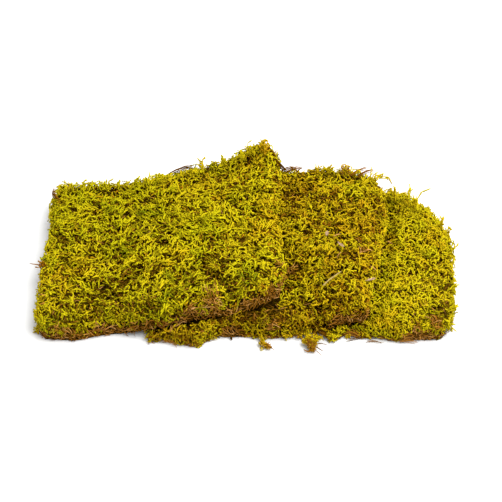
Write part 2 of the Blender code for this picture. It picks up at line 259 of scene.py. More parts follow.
# %% Read the mats
def welded(data):
    """A mesh in which loose triangles share their corners."""
    mesh = bmesh.new()
    mesh.from_mesh(data)
    bmesh.ops.remove_doubles(mesh, verts=mesh.verts, dist=0.01 * MM)
    mesh.normal_update()
    return mesh


class Mat:
    """A mat's surface as arrays: corners of its triangles, their areas and their corners' normals."""

    def __init__(self, node):
        self.name = node
        mesh = welded(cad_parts[node].data)
        bmesh.ops.triangulate(mesh, faces=mesh.faces)
        mesh.normal_update()
        mesh.verts.ensure_lookup_table()
        self.points = np.array([v.co for v in mesh.verts])
        normals = np.array([v.normal for v in mesh.verts])
        links = [[e.other_vert(v).index for e in v.link_edges] for v in mesh.verts]
        for _ in range(3):
            normals = np.array([normals[i] + normals[near].mean(0) for i, near in enumerate(links)])
            normals /= np.linalg.norm(normals, axis=1, keepdims=True)
        self.normals = normals
        self.faces = np.array([[v.index for v in f.verts] for f in mesh.faces])
        self.tree = BVHTree.FromBMesh(mesh)
        a, b, c = (self.points[self.faces[:, k]] for k in range(3))
        cross = np.cross(b - a, c - a)
        self.areas = np.linalg.norm(cross, axis=1) / 2
        self.facing = cross / np.maximum(2 * self.areas[:, None], 1e-15)
        mesh.free()

    def scatter(self, count, rng):
        """Random places all over the surface: points, normals, and how each's triangle faces."""
        face = rng.choice(len(self.faces), count, p=self.areas / self.areas.sum())
        u, v = rng.random(count), rng.random(count)
        over = u + v > 1
        u[over], v[over] = 1 - u[over], 1 - v[over]
        weights = np.stack([1 - u - v, u, v], 1)[..., None]
        corners = self.faces[face]
        normals = (self.normals[corners] * weights).sum(1)
        normals /= np.linalg.norm(normals, axis=1, keepdims=True)
        return (self.points[corners] * weights).sum(1), normals, self.facing[face]

    def foot(self, point, normal):
        """How high the mat's underside is beneath a place, looked up a little inside the edge."""
        inside = 3 * MM
        start = Vector((point[0] - normal[0] * inside, point[1] - normal[1] * inside, -MM))
        hit = self.tree.ray_cast(start, Vector((0, 0, 1)))[0]
        return hit.z if hit else 0.0


mats = {name: Mat(name) for name in ("upper_mat", "middle_mat", "lower_mat")}
for mat in mats.values():
    print(mat.name, "has", len(mat.faces), "triangles over", round(mat.areas.sum() * 1e6), "square mm")

# %% [markdown]
# ## One branchlet
#
# The smallest thing that the eye makes out is a branchlet: a stem as thin as a thread, with leaves in
# whorls that overlap and point forwards, so its outline is a saw's edge. It is modelled once, a unit
# long: a triangle is extruded upwards, wide where a whorl's leaves stand out and narrow right above
# it, and closed in a point. Three sides are enough at this size, and each whorl is turned against
# the last one.

# %% Helpers for modelling by hand
def fresh(name, primitive, **measures):
    """A new primitive, with nothing else selected."""
    bpy.ops.object.select_all(action="DESELECT")
    primitive(**measures)
    bpy.context.object.name = name
    return bpy.context.object


def select_where(mesh, wanted):
    """In edit mode, selects the points whose places are wanted, and the faces that they enclose."""
    bpy.ops.object.mode_set(mode="EDIT")
    bpy.ops.mesh.select_all(action="DESELECT")
    bpy.ops.object.mode_set(mode="OBJECT")
    for v in mesh.vertices:
        v.select = wanted(v.co)
    for part in (*mesh.edges, *mesh.polygons):
        part.select = all(mesh.vertices[i].select for i in part.vertices)
    bpy.ops.object.mode_set(mode="EDIT")


def draw_out(up, scale):
    """Extrudes what is selected upwards, and widens or narrows it."""
    bpy.ops.mesh.extrude_region_move(TRANSFORM_OT_translate={"value": (0, 0, up)})
    bpy.ops.transform.resize(value=(scale, scale, 1))


def draw_to_a_point(up):
    bpy.ops.mesh.extrude_region_move(TRANSFORM_OT_translate={"value": (0, 0, up)})
    bpy.ops.mesh.merge(type="CENTER")


def as_arrays(made, raised=0.0):
    """A finished shape as its points and its faces' corners. It stands on 0 and is a unit long."""
    bpy.ops.object.mode_set(mode="OBJECT")
    points = np.array([v.co for v in made.data.vertices])
    points[:, 2] = np.clip(points[:, 2] + raised, 0, 1)
    faces = [list(p.vertices) for p in made.data.polygons]
    print(made.name, "has", len(points), "points and", sum(len(f) - 2 for f in faces), "triangles")
    bpy.data.objects.remove(made)
    return points, faces


# %% Model the branchlets
STEM = 0.5  # how thin the stem is beside a whorl of leaves
TAPER = 0.8  # how narrow the last whorl is beside the first
NECK = 0.02  # how short the step from a whorl back to the stem is
WHORL_TURN = math.radians(50)


def model_branchlet(name, whorls):
    """A saw-edged branchlet. Whorls are the heights of its leaf tips."""
    made = fresh(name, bpy.ops.mesh.primitive_circle_add, vertices=3, radius=1, fill_type="TRIFAN")
    select_where(made.data, lambda place: place.length > 0.5)
    bpy.ops.transform.translate(value=(0, 0, whorls[0]))
    radius, height = 1.0, whorls[0]
    for number, tip in enumerate(whorls[1:]):
        narrow = STEM * (1 - 0.3 * number / len(whorls))
        draw_out(NECK, narrow / radius)
        bpy.ops.transform.rotate(value=WHORL_TURN, orient_axis="Z", center_override=(0, 0, height))
        radius = TAPER ** ((number + 1) / len(whorls))
        draw_out(tip - height - NECK, radius / narrow)
        height = tip
    draw_to_a_point(1.0 - height)
    return as_arrays(made)


def model_stem(name, heights, radii):
    """A smooth stem, pointed at both ends: a triangle drawn out from ring to ring."""
    ring = dict(vertices=3, radius=radii[0], fill_type="NOTHING")
    made = fresh(name, bpy.ops.mesh.primitive_circle_add, **ring)
    bpy.ops.object.mode_set(mode="EDIT")
    bpy.ops.mesh.select_all(action="SELECT")
    draw_to_a_point(-heights[0])
    select_where(made.data, lambda place: place.z > -heights[0] / 2)
    for below, above, r0, r1 in zip(heights, heights[1:], radii, radii[1:]):
        draw_out(above - below, r1 / r0)
    draw_to_a_point(1 - heights[-1])
    bpy.ops.mesh.select_all(action="SELECT")
    bpy.ops.mesh.normals_make_consistent(inside=False)
    return as_arrays(made, raised=heights[0])


LONG_BRANCHLET = model_branchlet("long_branchlet", (0.28, 0.58, 0.88))
SHORT_BRANCHLET = model_branchlet("short_branchlet", (0.42, 0.85))
BARB = model_stem("barb", (0.3, 0.88), (1.0, 0.75))
DEAD_STEM = model_stem("dead_stem", (0.2, 0.4, 0.6, 0.8), (0.8, 1.0, 0.85, 0.72))

# %% [markdown]
# ## Strands laid out by the thousand
#
# A branchlet grows along an arc. Its first direction, the direction that it curls to, its length
# and how far it turns give every point of the arc in one formula, so thousands are laid out at once
# as arrays of numbers. Each copy has its own points in one joined mesh.

# %% Strands
class Strands:
    """Arcs, each with a root, a first direction, the direction that it curls to, and its measures."""

    FIELDS = (
        "root", "along", "towards", "length", "turn", "sway", "width", "roll", "tone", "young",
        "top", "facing",
    )

    def __init__(self, **fields):
        for name in self.FIELDS:
            setattr(self, name, np.asarray(fields[name], float))
        self.tone = np.clip(self.tone, 0.02, 0.98)

    def __len__(self):
        return len(self.length)

    def kept(self, which):
        return Strands(**{name: getattr(self, name)[which] for name in self.FIELDS})

    @staticmethod
    def joined(parts):
        return Strands(**{
            name: np.concatenate([getattr(part, name) for part in parts]) for name in Strands.FIELDS
        })

    def offset(self, s):
        """From the root to the place s of the way along, where s has a value for each strand."""
        angle = self.turn * s
        ahead = s * np.sinc(angle / math.pi)
        aside = s * np.sinc(angle / (2 * math.pi)) * np.sin(angle / 2)
        swayed = self.sway * np.sin(2 * math.pi * s) * s
        arc = ahead[:, None] * self.along + aside[:, None] * self.towards
        return self.length[:, None] * (arc + swayed[:, None] * np.cross(self.along, self.towards))

    def heading(self, s):
        angle = (self.turn * s)[:, None]
        return np.cos(angle) * self.along + np.sin(angle) * self.towards


# %% Lay a shape along strands
FULL_SHADE_DEPTH = 6.4 * MM  # painted shade: this far under the tips, a shoot is as dark as its foot
LYING = 0.35 * MM  # a strand that would dip under this height lies along the floor instead
DIP_KEPT = 0.02  # the share of its dip that it keeps
NECK_SHADE = 0.05  # painted shade in the creases: how much darker the stem between two whorls is
TONE_AROUND, LIGHT_ALONG = 0.012, 0.008  # so that every face has some area on the map
MAP_EDGE = 0.004  # the map stays this far inside its square


def laid_out(strands, shape):
    """The points of every copy of a shape, laid along the strands, and their places on the map."""
    points, _ = shape
    binormal = np.cross(strands.along, strands.towards)
    x, y = points[:, 0], points[:, 1]
    around = np.arctan2(y, x) / math.pi
    narrow = np.hypot(x, y) < 0.5
    placed, mapped = [], []
    for k, s in enumerate(points[:, 2]):
        angle = (strands.turn * s)[:, None]
        normal = np.cos(angle) * strands.towards - np.sin(angle) * strands.along
        across = np.cos(strands.roll) * x[k] - np.sin(strands.roll) * y[k]
        aside = np.sin(strands.roll) * x[k] + np.cos(strands.roll) * y[k]
        out = across[:, None] * normal + aside[:, None] * binormal
        centre = strands.root + strands.offset(np.full(len(strands), s))
        placed.append(centre + strands.width[:, None] * out)
        # painted shade: the deeper a point lies under its strand's top, the darker it is mapped; the stem between
        # whorls is mapped darker still
        deep = ((strands.top - placed[-1]) * strands.facing).sum(1) / FULL_SHADE_DEPTH
        shade = NECK_SHADE if narrow[k] and 0.1 < s < 0.99 else 0.0
        light = strands.young * (1 - np.clip(deep, 0, 1)) - shade
        mapped.append(np.stack([strands.tone + TONE_AROUND * around[k], light + LIGHT_ALONG * s], 1))
    placed = np.stack(placed, 1)
    low = placed[..., 2] < LYING
    placed[..., 2][low] = LYING + (placed[..., 2][low] - LYING) * DIP_KEPT
    return placed, np.clip(np.stack(mapped, 1), MAP_EDGE, 1 - MAP_EDGE)

# %% Join the copies into one mesh
def joined_mesh(name, groups, material):
    """One mesh object out of several (strands, shape) groups."""
    points, mapped, corners, starts = [], [], [], []
    total_points = total_corners = 0
    for strands, shape in groups:
        if not len(strands):
            continue
        placed, uv = laid_out(strands, shape)
        count, each = placed.shape[:2]
        loop = np.concatenate([np.array(f) for f in shape[1]])
        sizes = np.array([len(f) for f in shape[1]])
        begin = np.concatenate([[0], np.cumsum(sizes)[:-1]])
        base = np.arange(count)[:, None]
        index = loop[None] + base * each
        corners.append((index + total_points).ravel())
        starts.append((begin[None] + base * len(loop) + total_corners).ravel())
        points.append(placed.reshape(-1, 3))
        mapped.append(uv.reshape(-1, 2)[index.ravel()])
        total_points += count * each
        total_corners += count * len(loop)
    points, mapped, corners, starts = (np.concatenate(x) for x in (points, mapped, corners, starts))
    mesh = bpy.data.meshes.new(name)
    mesh.vertices.add(len(points))
    mesh.vertices.foreach_set("co", points.astype(np.float32).ravel())
    mesh.loops.add(len(corners))
    mesh.loops.foreach_set("vertex_index", corners.astype(np.int32))
    mesh.polygons.add(len(starts))
    mesh.polygons.foreach_set("loop_start", starts.astype(np.int32))
    mesh.update(calc_edges=True)
    layer = mesh.uv_layers.new(name=MAP)
    layer.data.foreach_set("uv", mapped.astype(np.float32).ravel())
    mesh.polygons.foreach_set("use_smooth", np.ones(len(starts), bool))
    mesh.materials.append(material)
    mesh.validate()
    made = bpy.data.objects.new(name, mesh)
    bpy.context.scene.collection.objects.link(made)
    print(name, "has", len(corners) - 2 * len(starts), "triangles")
    return made


# %% Attach a finished piece and hide its nodes
def add_piece(obj, slot, *nodes):
    """A finished piece hangs from the root body and takes its nodes' place, which are hidden."""
    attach(obj, "root")
    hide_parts(*nodes)


# %% [markdown]
# ## Where shoots stand
#
# Places are drawn at random over a mat and thinned, so that no two are closer than the spacing.
# A place on the underside, or one that another mat covers, gets no shoot. Low on a cut edge there is
# only thatch.

# %% Thin out the places
def unit(vectors):
    return vectors / np.maximum(np.linalg.norm(vectors, axis=-1, keepdims=True), 1e-12)


def flattened(vectors, axes):
    """The vectors without what they have along their axes."""
    return vectors - (vectors * axes).sum(1, keepdims=True) * axes


def thinned(points, spacing):
    """The numbers of the points that stay when none may be closer to an earlier one than spacing."""
    cells, kept = {}, []
    keys = np.floor(points / spacing).astype(int)
    for i, (p, key) in enumerate(zip(points, map(tuple, keys))):
        near = [
            j
            for dx in (-1, 0, 1) for dy in (-1, 0, 1) for dz in (-1, 0, 1)
            for j in cells.get((key[0] + dx, key[1] + dy, key[2] + dz), ())
        ]
        if all(((points[j] - p) ** 2).sum() > spacing * spacing for j in near):
            cells.setdefault(key, []).append(i)
            kept.append(i)
    return np.array(kept)

# %% What lies under another mat, and what a pixel shows
OVERHEAD, BESIDE = 4 * MM, 1 * MM  # another mat that is as near as this covers a place


def open_to_air(mat, points, normals):
    """Which places no other mat lies on or stands against."""
    others = [other.tree for other in mats.values() if other is not mat]
    free = []
    for p, n in zip(points, normals):
        n = Vector(n)
        start = Vector(p) + n * 0.2 * MM
        covered = any(
            tree.ray_cast(start, Vector((0, 0, 1)), OVERHEAD)[0] or tree.ray_cast(start, n, BESIDE)[0]
            for tree in others
        )
        free.append(not covered)
    return np.array(free)


ON_TABLE = 0.6 * MM  # how high the middle of a thing on the table is


def caught(pixel):
    """Where the line of sight through a pixel meets the mats, or else the table."""
    ray = (seen(pixel, 0) - eye).normalized()
    hits = [mat.tree.ray_cast(eye, ray) for mat in mats.values()]
    hits = [hit for hit in hits if hit[0]]
    if hits:
        return min(hits, key=lambda hit: hit[3])[0]
    return eye - ray * ((eye.z - ON_TABLE) / ray.z)

# %% Choose the places
TRIES = 5  # random places for each one that the spacing has room for


def places(mat, spacing, seed):
    """Where things may stand on a mat: points, normals, and heights over the mat's underside."""
    rng = np.random.default_rng(seed)
    count = int(TRIES * mat.areas.sum() / spacing**2)
    points, normals, facing = mat.scatter(count, rng)
    up = facing[:, 2] > -0.6
    points, normals = points[up], normals[up]
    chosen = thinned(points, spacing)
    points, normals = points[chosen], normals[chosen]
    free = open_to_air(mat, points, normals)
    points, normals = points[free], normals[free]
    feet = np.array([mat.foot(p, n) for p, n in zip(points, normals)])
    return points, normals, points[:, 2] - feet


# %% [markdown]
# ## How a shoot grows
#
# Shoots stand in tufts: those of a tuft lean away from its middle, and its middle stands higher, so
# dark gaps open between tufts. A shoot is a main branchlet and a few shorter ones that leave it to
# both sides like a feather's barbs. On a cut edge the shoots lean out and droop.

# %% Side branchlets
def wander(points, length, seed):
    """A smooth random number for each place, roughly from -1 to 1."""
    shift = Vector((seed, 2 * seed, 3 * seed))
    return np.array([noise.noise(Vector(p) / length + shift) for p in points]) * 1.6


def side_branchlets(main, flat, habit, rng):
    """Shorter branchlets that leave each main one to the two sides that flat points to, by turns."""
    count, sides = len(main), []
    for k in range(habit["sides"]):
        share = (k + 1) / (habit["sides"] + 0.6)
        s = np.clip(share + rng.uniform(-0.06, 0.06, count), 0.15, 0.95)
        heading = main.heading(s)
        hand = (-1.0) ** k * np.where(rng.random(count) < 0.85, 1, -1)[:, None]
        out = unit(flat * hand + rng.normal(0, habit["loose"], (count, 3)))
        out = unit(flattened(out, heading))
        spread = rng.uniform(*habit["spread"], count)[:, None]
        first_way = unit(np.cos(spread) * heading + np.sin(spread) * out)
        curl = unit(np.sin(spread) * heading - np.cos(spread) * out)
        lift = rng.normal(0, habit["skew"], count)[:, None]
        curl = unit(np.cos(lift) * curl + np.sin(lift) * np.cross(first_way, curl))
        sides.append(Strands(
            root=main.root + main.offset(s), along=first_way, towards=curl,
            length=main.length * rng.uniform(*habit["side_length"], count) * (1.15 - 0.6 * share),
            turn=rng.uniform(*habit["side_turn"], count), sway=rng.normal(0, 0.06, count),
            width=rng.uniform(*habit["side_width"], count) * MM, roll=rng.uniform(0, 2 * math.pi, count),
            tone=main.tone + rng.normal(0, 0.04, count), young=main.young * rng.uniform(0.92, 1.05, count),
            top=main.top, facing=main.facing,
        ))
    return sides


# %% Grow the shoots
def grow(points, normals, habit, seed, tone, bright, depth):
    """Shoots whose tips reach the points, or stay depth under them. Returns main and side strands."""
    rng = np.random.default_rng(seed)
    count, tuft = len(points), habit["tuft"] * MM
    # the tufts
    centres = points[thinned(points, tuft)]
    tree = kdtree.KDTree(len(centres))
    for i, c in enumerate(centres):
        tree.insert(Vector(c), i)
    tree.balance()
    nearest = np.array([tree.find(Vector(p))[1] for p in points])
    away = points - centres[nearest]
    reach = np.linalg.norm(away, axis=1) / tuft
    # which way each leans, and the plane that it curls in
    combed = 2 * math.pi * (wander(points, 26 * MM, seed % 97) + 0.15)
    comb = np.stack([np.cos(combed), np.sin(combed), np.zeros(count)], 1)
    down = np.array([0, 0, -1.0]) * (1 - np.abs(normals[:, 2:])) ** 0.5
    stray = rng.normal(size=(count, 3)) * habit["stray"]
    lean = unit(away) * habit["radiate"] + comb * habit["comb"] + down * habit["droop"] + stray
    lean = unit(flattened(lean, normals))
    first = rng.uniform(*habit["lean"], count) + 0.45 * (1 - np.abs(normals[:, 2])) ** 0.5
    turn = rng.uniform(*habit["turn"], count)
    along = unit(np.cos(first)[:, None] * normals + np.sin(first)[:, None] * lean)
    forward = unit(np.cos(first)[:, None] * lean - np.sin(first)[:, None] * normals)
    flat = np.cross(along, forward)
    skew = rng.normal(0, habit["skew"], count)[:, None]
    towards = unit(np.cos(skew) * forward + np.sin(skew) * flat)
    length = rng.uniform(*habit["length"], count) * MM
    tuft_tone = rng.normal(0, habit["tuft_tone"], len(centres))[nearest]
    tones = tone + tuft_tone + rng.normal(0, habit["own_tone"], count)
    main = Strands(
        root=points, along=along, towards=towards, length=length, turn=turn,
        sway=rng.normal(0, 0.05, count), width=rng.uniform(*habit["width"], count) * MM,
        roll=rng.uniform(0, 2 * math.pi, count), tone=tones, young=rng.uniform(0.84, 0.97, count) * bright,
        top=points, facing=normals,
    )
    sides = side_branchlets(main, flat, habit, rng)
    # the highest that each gets is brought to the surface
    rise = [
        ((one.root - points + one.offset(np.full(count, s))) * normals).sum(1)
        for one in [main] + sides for s in (0.5, 0.75, 1.0)
    ]
    proud = (rng.random(count) < habit["proud"]) * rng.uniform(1.0, 2.6, count)
    hollow = habit["hollow"] * np.maximum(wander(points, 7 * MM, seed % 89), -0.3)
    sunk = habit["sink"] * reach**2 + rng.normal(0.2, habit["uneven"], count) + hollow - proud
    sunk = (depth + sunk * MM) * (0.35 + 0.65 * np.abs(normals[:, 2]))
    shift = normals * (np.max(rise, 0) + sunk)[:, None]
    # and its middle over the place that it was given
    tip = main.offset(np.full(count, 0.6))
    shift = shift + flattened(tip, normals)
    for one in [main] + sides:
        one.root = one.root - shift
    return main, Strands.joined(sides)


# %% Habits of growth
FEATHERY = dict(  # tufts, lengths, widths and depths are in mm, and angles in radians
    tuft=9, radiate=0.8, comb=0.6, droop=0.9, stray=0.5, lean=(0.2, 1.0), turn=(0.5, 1.8),
    skew=0.9, length=(7, 11), sink=3.3, uneven=0.9, hollow=2.5, proud=0.08, tuft_tone=0.07,
    own_tone=0.05, width=(0.70, 0.92), sides=3, spread=(0.6, 1.1), side_length=(0.45, 0.70),
    side_turn=(-0.8, 1.8), side_width=(0.60, 0.80), loose=0.5,
)
CURLY = dict(
    FEATHERY, tuft=6, radiate=0.5, comb=0.3, stray=0.7, lean=(0.0, 1.0), turn=(0.6, 2.2),
    skew=1.1, length=(6, 9), sink=2.2, width=(0.60, 0.80), side_turn=(-1.6, 2.4),
    side_width=(0.56, 0.74), loose=0.8,
)
BRIGHT = dict(CURLY, sink=1.4, uneven=0.5, hollow=1.4)
UNDERGROWTH = dict(
    CURLY, tuft=5, length=(4, 6), lean=(0.1, 1.1), sink=0.5, uneven=0.7, proud=0,
    width=(0.50, 0.70), sides=1, side_length=(0.5, 0.8), side_width=(0.45, 0.6),
)
print("shoots are", FEATHERY["length"], "mm long, or", CURLY["length"], "where they are curly")

# %% [markdown]
# ## Planting the three mats
#
# The upper mat's shoots are long and feathery and lie over each other, the middle mat's are short
# and curly and have browned a little in the sun, and the lower mat's are the brightest. The first
# millimetres of a cut edge are bare thatch, in bands that are given as (first x, last x, height) in
# mm. Each mat has patches that are greener or browner, or hollow. A patch is the pixel where it is
# seen, how far it reaches in mm, its change of tone, in which more is greener, and how much deeper
# it is in mm. In withered patches, given as a pixel and a radius in mm, dead stems take the place of
# most shoots. Under the shoots of each mat stands a duller undergrowth.

# %% The plan of each mat
PLANTING = {
    "upper_mat": dict(
        habit=FEATHERY, spacing=2.3 * MM, seed=11, tone=0.67, dull=0.34, bright=0.94,
        slot="upper_moss",
        bands=[
            (-145, -92, 7.8), (-92, -66, 5.4), (-66, -45, 4.2), (-45, -20, 8), (-20, -5, 3.5), (-5, 30, 8),
        ],
        patches=[
            (125, 210, 42, 0.13, 0), (75, 220, 20, 0.06, 0), (105, 314, 28, 0.1, 1.7),
            (250, 274, 11, 0.24, 0.6), (228, 284, 10, 0.18, 1), (150, 315, 14, 0.06, 1),
            (245, 172, 22, -0.08, -0.9), (160, 192, 16, -0.04, -0.6), (195, 180, 16, -0.06, -0.8),
            (225, 205, 26, -0.05, -0.5), (60, 285, 24, -0.13, 0), (275, 222, 18, -0.24, -0.9),
            (125, 188, 15, -0.09, -1.3), (213, 257, 8, 0, 2.6), (100, 288, 7, 0, 2.4), (62, 238, 7, 0, 2),
            (165, 233, 6, 0, 2), (250, 304, 10, -0.25, 3.6), (205, 300, 7, -0.15, 1.6),
            (165, 220, 6, 0, 1.4), (180, 295, 8, 0.04, 1.6), (70, 322, 9, 0.06, 1.6),
            (135, 270, 6, 0, 1.6), (54, 316, 6, 0.1, 2.4), (96, 313, 7, 0.08, 2.2),
            (125, 311, 6, 0.08, 2.2), (146, 307, 7, 0.06, 2.2), (112, 294, 5, 0.05, 2),
            (192, 278, 6, 0.08, 2.2), (232, 290, 7, 0.15, 2.4), (192, 259, 4, 0, 2.8),
            (228, 259, 4, 0, 2.8), (240, 250, 3.5, 0, 2.4), (180, 283, 4.5, 0.04, 2.6),
            (209, 268, 4, 0, 2.4), (155, 271, 4, 0, 2.4), (125, 278, 4, 0, 2.4), (246, 284, 4, 0.08, 2.6),
            (128, 214, 4, 0, 1.8), (96, 222, 4, 0, 2), (80, 188, 22, -0.13, -1),
        ],
        withered=[(272, 297, 9), (254, 303, 5), (212, 303, 6), (190, 313, 6), (282, 284, 7), (281, 264, 4)],
    ),
    "middle_mat": dict(
        habit=CURLY, spacing=2.05 * MM, seed=23, tone=0.52, dull=0.38, bright=0.80,
        slot="middle_moss",
        bands=[(-18, -4, 5), (52, 80, 5.5)],
        patches=[
            (290, 192, 20, -0.12, 1.2), (276, 320, 14, -0.12, 1.2), (350, 252, 9, -0.14, 1.2),
            (264, 309, 11, -0.12, 3.8), (246, 313, 8, -0.06, 2.6), (346, 320, 12, -0.26, 3),
            (226, 325, 11, -0.14, 1.6), (380, 212, 7, -0.1, 2.4), (333, 175, 12, 0.06, 0),
            (205, 338, 9, 0.14, 0.4), (312, 322, 15, -0.14, 1.5), (240, 330, 10, -0.12, 1),
            (166, 327, 16, -0.2, 1.8), (374, 226, 12, -0.1, -0.5),
        ],
        withered=[
            (363, 249, 3.5), (340, 321, 4.5), (356, 322, 3.5), (274, 327, 4), (232, 331, 5),
            (174, 322, 5.5), (291, 270, 3.5),
        ],
    ),
    "lower_mat": dict(
        habit=BRIGHT, spacing=2.05 * MM, seed=37, tone=0.62, dull=0.12, bright=1.02,
        slot="lower_moss",
        bands=[(100, 128, 5)],
        patches=[
            (386, 208, 8, -0.25, 3), (425, 246, 22, -0.03, -0.9), (395, 300, 16, 0, -0.6),
            (436, 318, 9, 0.28, 3.2), (410, 296, 9, -0.12, 0), (388, 240, 8, -0.12, 1.6),
            (455, 282, 20, 0, 2.6), (455, 314, 16, 0, 3.4), (397, 330, 9, -0.05, 1.2),
            (434, 211, 9, 0, 2.2),
        ],
        withered=[(414, 336, 6), (430, 333, 4), (434, 322, 5), (419, 327, 3.5)],
    ),
}

# %% Bare edges, patches and withered places
def bare_height(plan, points, normals):
    """How high the thatch shows at each place, on edges that face the front."""
    height = np.zeros(len(points))
    ragged = 0.8 + 0.8 * wander(points, 5 * MM, 3)
    for first, last, band in plan["bands"]:
        inside = (normals[:, 1] < -0.4) & (points[:, 0] > first * MM) & (points[:, 0] < last * MM)
        height[inside] = band * ragged[inside]
    return height * MM


def patched(plan, points):
    """How much each place differs from its mat's tone, and how much deeper its shoots stand."""
    tone, depth = np.zeros(len(points)), np.zeros(len(points))
    for *pixel, reach, change, hollow in plan["patches"]:
        distance = np.linalg.norm(points - np.array(caught(pixel)), axis=1) / (reach * MM)
        share = np.exp(-(distance**2))
        tone += change * share
        depth += hollow * MM * share
    return tone, depth


def withered(plan, points):
    """Which places lie in the mat's withered patches."""
    inside = np.zeros(len(points), bool)
    ragged = (1 + 0.5 * wander(points, 4 * MM, 17)) * MM
    for *pixel, radius in plan["withered"]:
        inside |= np.linalg.norm(points - np.array(caught(pixel)), axis=1) < radius * ragged
    return inside


# %% Plant
PIECE_LIMIT = 190000  # triangles
WALL = 0.75  # a surface that faces up by less than this is part of a cut edge
ANYWAY = 0.08  # the share of places on bare edges that get a shoot all the same
SURVIVE = 0.4  # the share of places in withered patches where the shoot lives
UNDER_SPACING, UNDER_DEPTH = 2.7 * MM, 2.8 * MM  # of the undergrowth
DRIFT = 0.06  # how much a mat's tone wanders from place to place


def plant(node, plan):
    """The groups of strands, with their shapes, that grow on one mat."""
    mat = mats[node]
    groups = []
    for layer, (habit, spacing, depth, dull, shapes) in enumerate((
        (plan["habit"], plan["spacing"], 0.0, 0.0, (LONG_BRANCHLET, SHORT_BRANCHLET)),
        (UNDERGROWTH, UNDER_SPACING, UNDER_DEPTH, plan["dull"], (BARB, BARB)),
    )):
        seed = plan["seed"] + 100 * layer
        points, normals, heights = places(mat, spacing, seed)
        planted = (heights > bare_height(plan, points, normals)) | (np.abs(normals[:, 2]) > WALL)
        chance = np.random.default_rng(seed).random(len(points))
        planted = (planted | (chance < ANYWAY)) & ~(withered(plan, points) & (chance > SURVIVE))
        points, normals = points[planted], normals[planted]
        change, deeper = patched(plan, points)
        tone = plan["tone"] + change - dull
        for length, shift in ((25 * MM, plan["seed"]), (9 * MM, 5)):
            tone += DRIFT * wander(points, length, shift)
        main, sides = grow(points, normals, habit, seed, tone, plan["bright"], depth + deeper)
        groups += [(main, shapes[0]), (sides, shapes[1])]
        print(node, "layer", layer, "has", len(main), "shoots")
    return groups


def split(groups, limit):
    """The groups cut up along X, so that no joined mesh has more triangles than the limit."""
    each = [sum(len(face) - 2 for face in shape[1]) for _, shape in groups]
    triangles = np.concatenate([np.full(len(g), size) for (g, _), size in zip(groups, each)])
    x = np.concatenate([g.root[:, 0] for g, _ in groups])
    parts = math.ceil(triangles.sum() / limit)
    order = np.argsort(x)
    share = np.cumsum(triangles[order]) / triangles.sum()
    cuts = [x[order][np.searchsorted(share, k / parts)] for k in range(1, parts)]
    return [
        [(g.kept(np.searchsorted(cuts, g.root[:, 0]) == k), shape) for g, shape in groups]
        for k in range(parts)
    ]


for node, plan in PLANTING.items():
    parts = split(plant(node, plan), PIECE_LIMIT)
    for number, groups in enumerate(parts, 1):
        name = node.replace("_mat", "_shoots") + (f"_{number}" if len(parts) > 1 else "")
        add_piece(joined_mesh(name, groups, moss), plan["slot"], node)

# %% [markdown]
# ## Thatch along the cut edges
#
# Below the shoots, a cut edge shows the ends and bends of dead stems. They run mostly level, cross
# each other, and stand out a little from the felt. More of them lie deep between the shoots, every
# way, and make the pits reddish brown.

# %% Thatch
def thatch(points, normals, seed, sunk, length, width, level, tones=(2.2, 1.7)):
    """Dead stems that lie against a surface, each with its middle sunk that many mm under a point."""
    rng = np.random.default_rng(seed)
    count = len(points)
    up = np.array([0, 0, 1.0])
    across = unit(np.cross(np.broadcast_to(up, normals.shape), normals) + rng.normal(0, 0.01, (count, 3)))
    rise = np.cross(normals, across)
    angle = rng.normal(0, level, count)[:, None] + math.pi * (rng.random(count) < 0.5)[:, None]
    along = unit(np.cos(angle) * across + np.sin(angle) * rise + normals * rng.normal(0, 0.25, (count, 1)))
    aside = unit(np.cross(along, normals)) * np.where(rng.random(count) < 0.5, 1, -1)[:, None]
    towards = aside + normals * rng.normal(0, 0.5, (count, 1))
    towards = unit(flattened(towards, along))
    strands = Strands(
        root=points, along=along, towards=towards, length=rng.uniform(*length, count) * MM,
        turn=rng.uniform(0.3, 2.4, count), sway=rng.normal(0, 0.05, count),
        width=rng.uniform(*width, count) * MM, roll=rng.uniform(0, 2 * math.pi, count),
        tone=rng.beta(*tones, count), young=rng.uniform(0.6, 1.0, count), top=points, facing=normals,
    )
    depth = (sunk + rng.uniform(0, 1.0, count)[:, None]) * MM
    strands.root = points - normals * depth - strands.offset(np.full(count, 0.5))
    return strands


edge_stems, pit_stems = {}, {}
for node, plan in PLANTING.items():
    mat, seed = mats[node], plan["seed"]
    points, normals, heights = places(mat, 1.15 * MM, seed + 300)
    bare = bare_height(plan, points, normals)
    dead = withered(plan, points) & (np.random.default_rng(seed).random(len(points)) < 0.7)
    low = dead | ((heights < bare + 2.0 * MM) & (np.abs(normals[:, 2]) < WALL))
    sunk = np.where(dead, -0.2, np.where(bare > 0, 0.2, 0.9))[low, None]
    edge_stems[node] = thatch(
        points[low], normals[low], seed, sunk, length=(4, 9), width=(0.24, 0.38), level=1.0,
    )
    points, normals, _ = places(mat, 2.8 * MM, seed + 400)
    pit_stems[node] = thatch(
        points, normals, seed + 1, sunk=3.0, length=(4, 8), width=(0.30, 0.45), level=1.5,
        tones=(1.5, 2.2),
    )
    print(node, "shows", low.sum(), "dead stems on its edges and", len(points), "in its pits")

# %% [markdown]
# ## Strays
#
# A torn edge is never clean. Single shoots stand out of it, wisps of dead stem arch up behind, and
# crumbs of bark and leaf hang between the shoots. Each of these is an arc from a place on a mat to
# where its end is seen in the photograph, at the same distance to the back. A row is the pixels of
# its start and its end, how many strands there are, how far they scatter in mm, how much they bulge,
# half their width in mm, and their tone.

